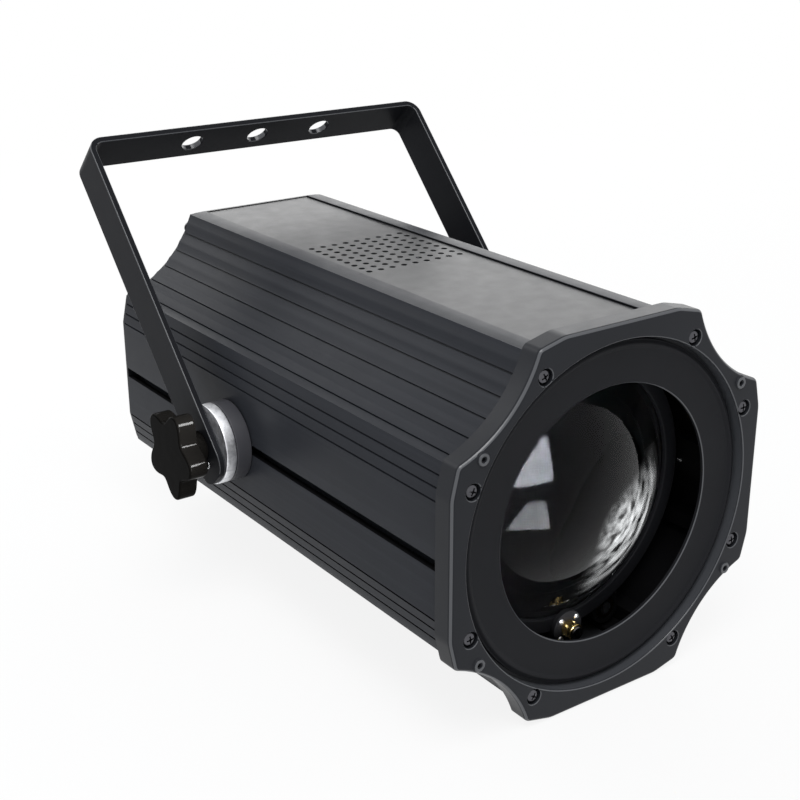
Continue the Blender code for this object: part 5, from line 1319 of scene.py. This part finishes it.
def dress_nodes():
    """Finishes on the solids themselves."""
    finishes = {
        PLATE_PAINT: ["bottom_plate", "rear_panel"],
        # Painted shade: the parts inside the housing are near-black
        PAINTED_SHADE_BLACK: ["bulkhead", "lens_carriage", "zoom_motor"],
        PLASTIC: [
            "fuse_holder", "fan_frame", "fan_rotor", *[socket[0] + "_socket" for socket in SOCKETS],
            *[f"button_{number + 1}" for number in range(BUTTON_COUNT)],
        ],
        WINDOW: ["display_window"],
        ALUMINIUM: ["heat_sink", "power_supply", "reflector"],
        PHOSPHOR: ["led_module"],
        STEEL: ["t_bolt_left", "t_bolt_right", "guide_rod_left", "guide_rod_right"],
        OILED_BRONZE: ["bushing_left", "bushing_right"],
        BOARD: ["control_board"],
    }
    for finish, names in finishes.items():
        for name in names:
            NODES[name].data.materials.clear()
            NODES[name].data.materials.append(finish.material)


def glow(tree, white, other, share=None):
    """White to the camera and in gloss and glass, or a share of it; the other shader elsewhere."""

    def math(operation, first, second):
        made = tree.nodes.new("ShaderNodeMath")
        made.operation = operation
        tree.links.new(first, made.inputs[0])
        tree.links.new(second, made.inputs[1])
        return made.outputs[0]

    path = tree.nodes.new("ShaderNodeLightPath")
    value = path.outputs["Is Camera Ray"]
    for ray in ("Is Glossy Ray", "Is Transmission Ray"):
        value = math("MAXIMUM", value, path.outputs[ray])
    if share:
        value = math("MULTIPLY", value, share)
    mix = tree.nodes.new("ShaderNodeMixShader")
    for socket, source in zip(mix.inputs, (value, other, white)):
        tree.links.new(source, socket)
    return mix.outputs["Shader"]


def make_world():
    world = bpy.data.worlds.new("studio")
    bpy.context.scene.world = world
    world.use_nodes = True
    tree = world.node_tree
    tree.nodes.clear()
    white = tree.nodes.new("ShaderNodeBackground")
    white.inputs["Color"].default_value = (1, 1, 1, 1)
    soft = tree.nodes.new("ShaderNodeBackground")
    soft.inputs["Color"].default_value = (0.94, 0.97, 1.0, 1)
    soft.inputs["Strength"].default_value = 0.5
    out = tree.nodes.new("ShaderNodeOutputWorld")
    surface = glow(tree, white.outputs[0], soft.outputs[0])
    tree.links.new(surface, out.inputs["Surface"])


def make_floor():
    bpy.ops.mesh.primitive_plane_add(size=30, location=(0, 0, -FLOOR_GAP))
    floor = bpy.context.object
    floor.name = "floor"
    made = Finish("floor", (0.9, 0.9, 0.9), 0.8)
    white = made.node("ShaderNodeEmission")
    reach = made.node("ShaderNodeVectorMath", operation="LENGTH")
    made.link(made.place, reach.inputs[0])
    share = made.spread(reach.outputs["Value"], FLOOR_WHITE_NEAR, 1, FLOOR_NEAR, FLOOR_FAR)
    surface = glow(made.tree, white.outputs[0], made.shader.outputs[0], share)
    made.link(surface, made.tree.nodes["Material Output"].inputs["Surface"])
    floor.data.materials.append(made.material)


def softbox(name, place, target, width, height, power):
    """A lamp of a width and height in metres that shines on the target, with a power in watts."""
    data = bpy.data.lights.new(name, "AREA")
    data.shape = "RECTANGLE"
    data.size = width
    data.size_y = height
    data.energy = power
    obj = placed(name, data)
    obj.location = place
    obj.rotation_euler = (Vector(target) - Vector(place)).to_track_quat("-Z", "Y").to_euler()
    obj.visible_camera = False
    return obj


def only_on(lamp, names):
    """Keeps a lamp's light to the pieces of these names."""
    lit = bpy.data.collections.new(lamp.name + "_pieces")
    for name in names:
        lit.objects.link(bpy.data.objects[name])
    lamp.light_linking.receiver_collection = lit


def make_camera():
    data = bpy.data.cameras.new("camera")
    data.sensor_width = CAMERA_SENSOR
    data.lens = CAMERA_LENS
    data.clip_start = 0.01
    turn = Matrix((CAMERA_RIGHT, CAMERA_UP, CAMERA_BACK)).transposed().to_4x4()
    bpy.context.scene.camera = placed("camera", data, Matrix.Translation(CAMERA_PLACE) @ turn)


make_camera()
make_world()
make_floor()
softbox("key", (-0.45, -0.8, 1.8), (0, -0.05, 0.1), 1.0, 1.0, 20)
softbox("horizon", (1.25, 1.6, 0.85), (0.05, 0.0, 0.2), 1.9, 1.1, 13)
softbox("rear", (-0.6, 1.4, 1.05), (-0.05, 0, 0.15), 1.2, 0.9, 8)

make_bezel()
make_screws()
make_aperture_plate()
make_body()
make_top_plate()
make_yoke()
for side_name, side_sign in (("left", -1), ("right", 1)):
    make_discs(side_name, side_sign)
    make_knob(side_name, side_sign)
make_lens()
make_retainer()
make_lead_nut()
make_lead_screw()
make_wall_studs()
make_boss_rings()
make_sockets()
make_window_frame()
make_button_rings()
make_fuse_cap()
dress_nodes()

# Lamps that light a few pieces alone
KNOBS = ["star_knob_left", "star_knob_right"]
STUDS = ["wall_stud_1", "wall_stud_2"]
SPARKLE = ["glass_lens", *KNOBS, "brass_nut", *STUDS, *[f"nut_screw_{number}" for number in range(1, 5)]]
strip = softbox("strip", (-0.14, -1.65, 0.42), (-0.03, -0.17, 0.14), 0.68, 0.70, 130)
board = softbox("board", (-0.06, -0.56, 0.002), (-0.06, -0.56, 1.0), 0.12, 0.38, 5)
glint = softbox("glint", (0.42, -1.02, 0.84), (-0.14, 0.03, 0.11), 0.36, 0.36, 260)
left = softbox("left", (-0.75, -0.62, 0.45), (0.0962, -0.146, 0.1045), 0.35, 0.35, 150)
only_on(strip, SPARKLE)
only_on(left, STUDS)
only_on(glint, KNOBS)
only_on(board, ["glass_lens"])

bpy.context.scene.view_settings.view_transform = "Standard"
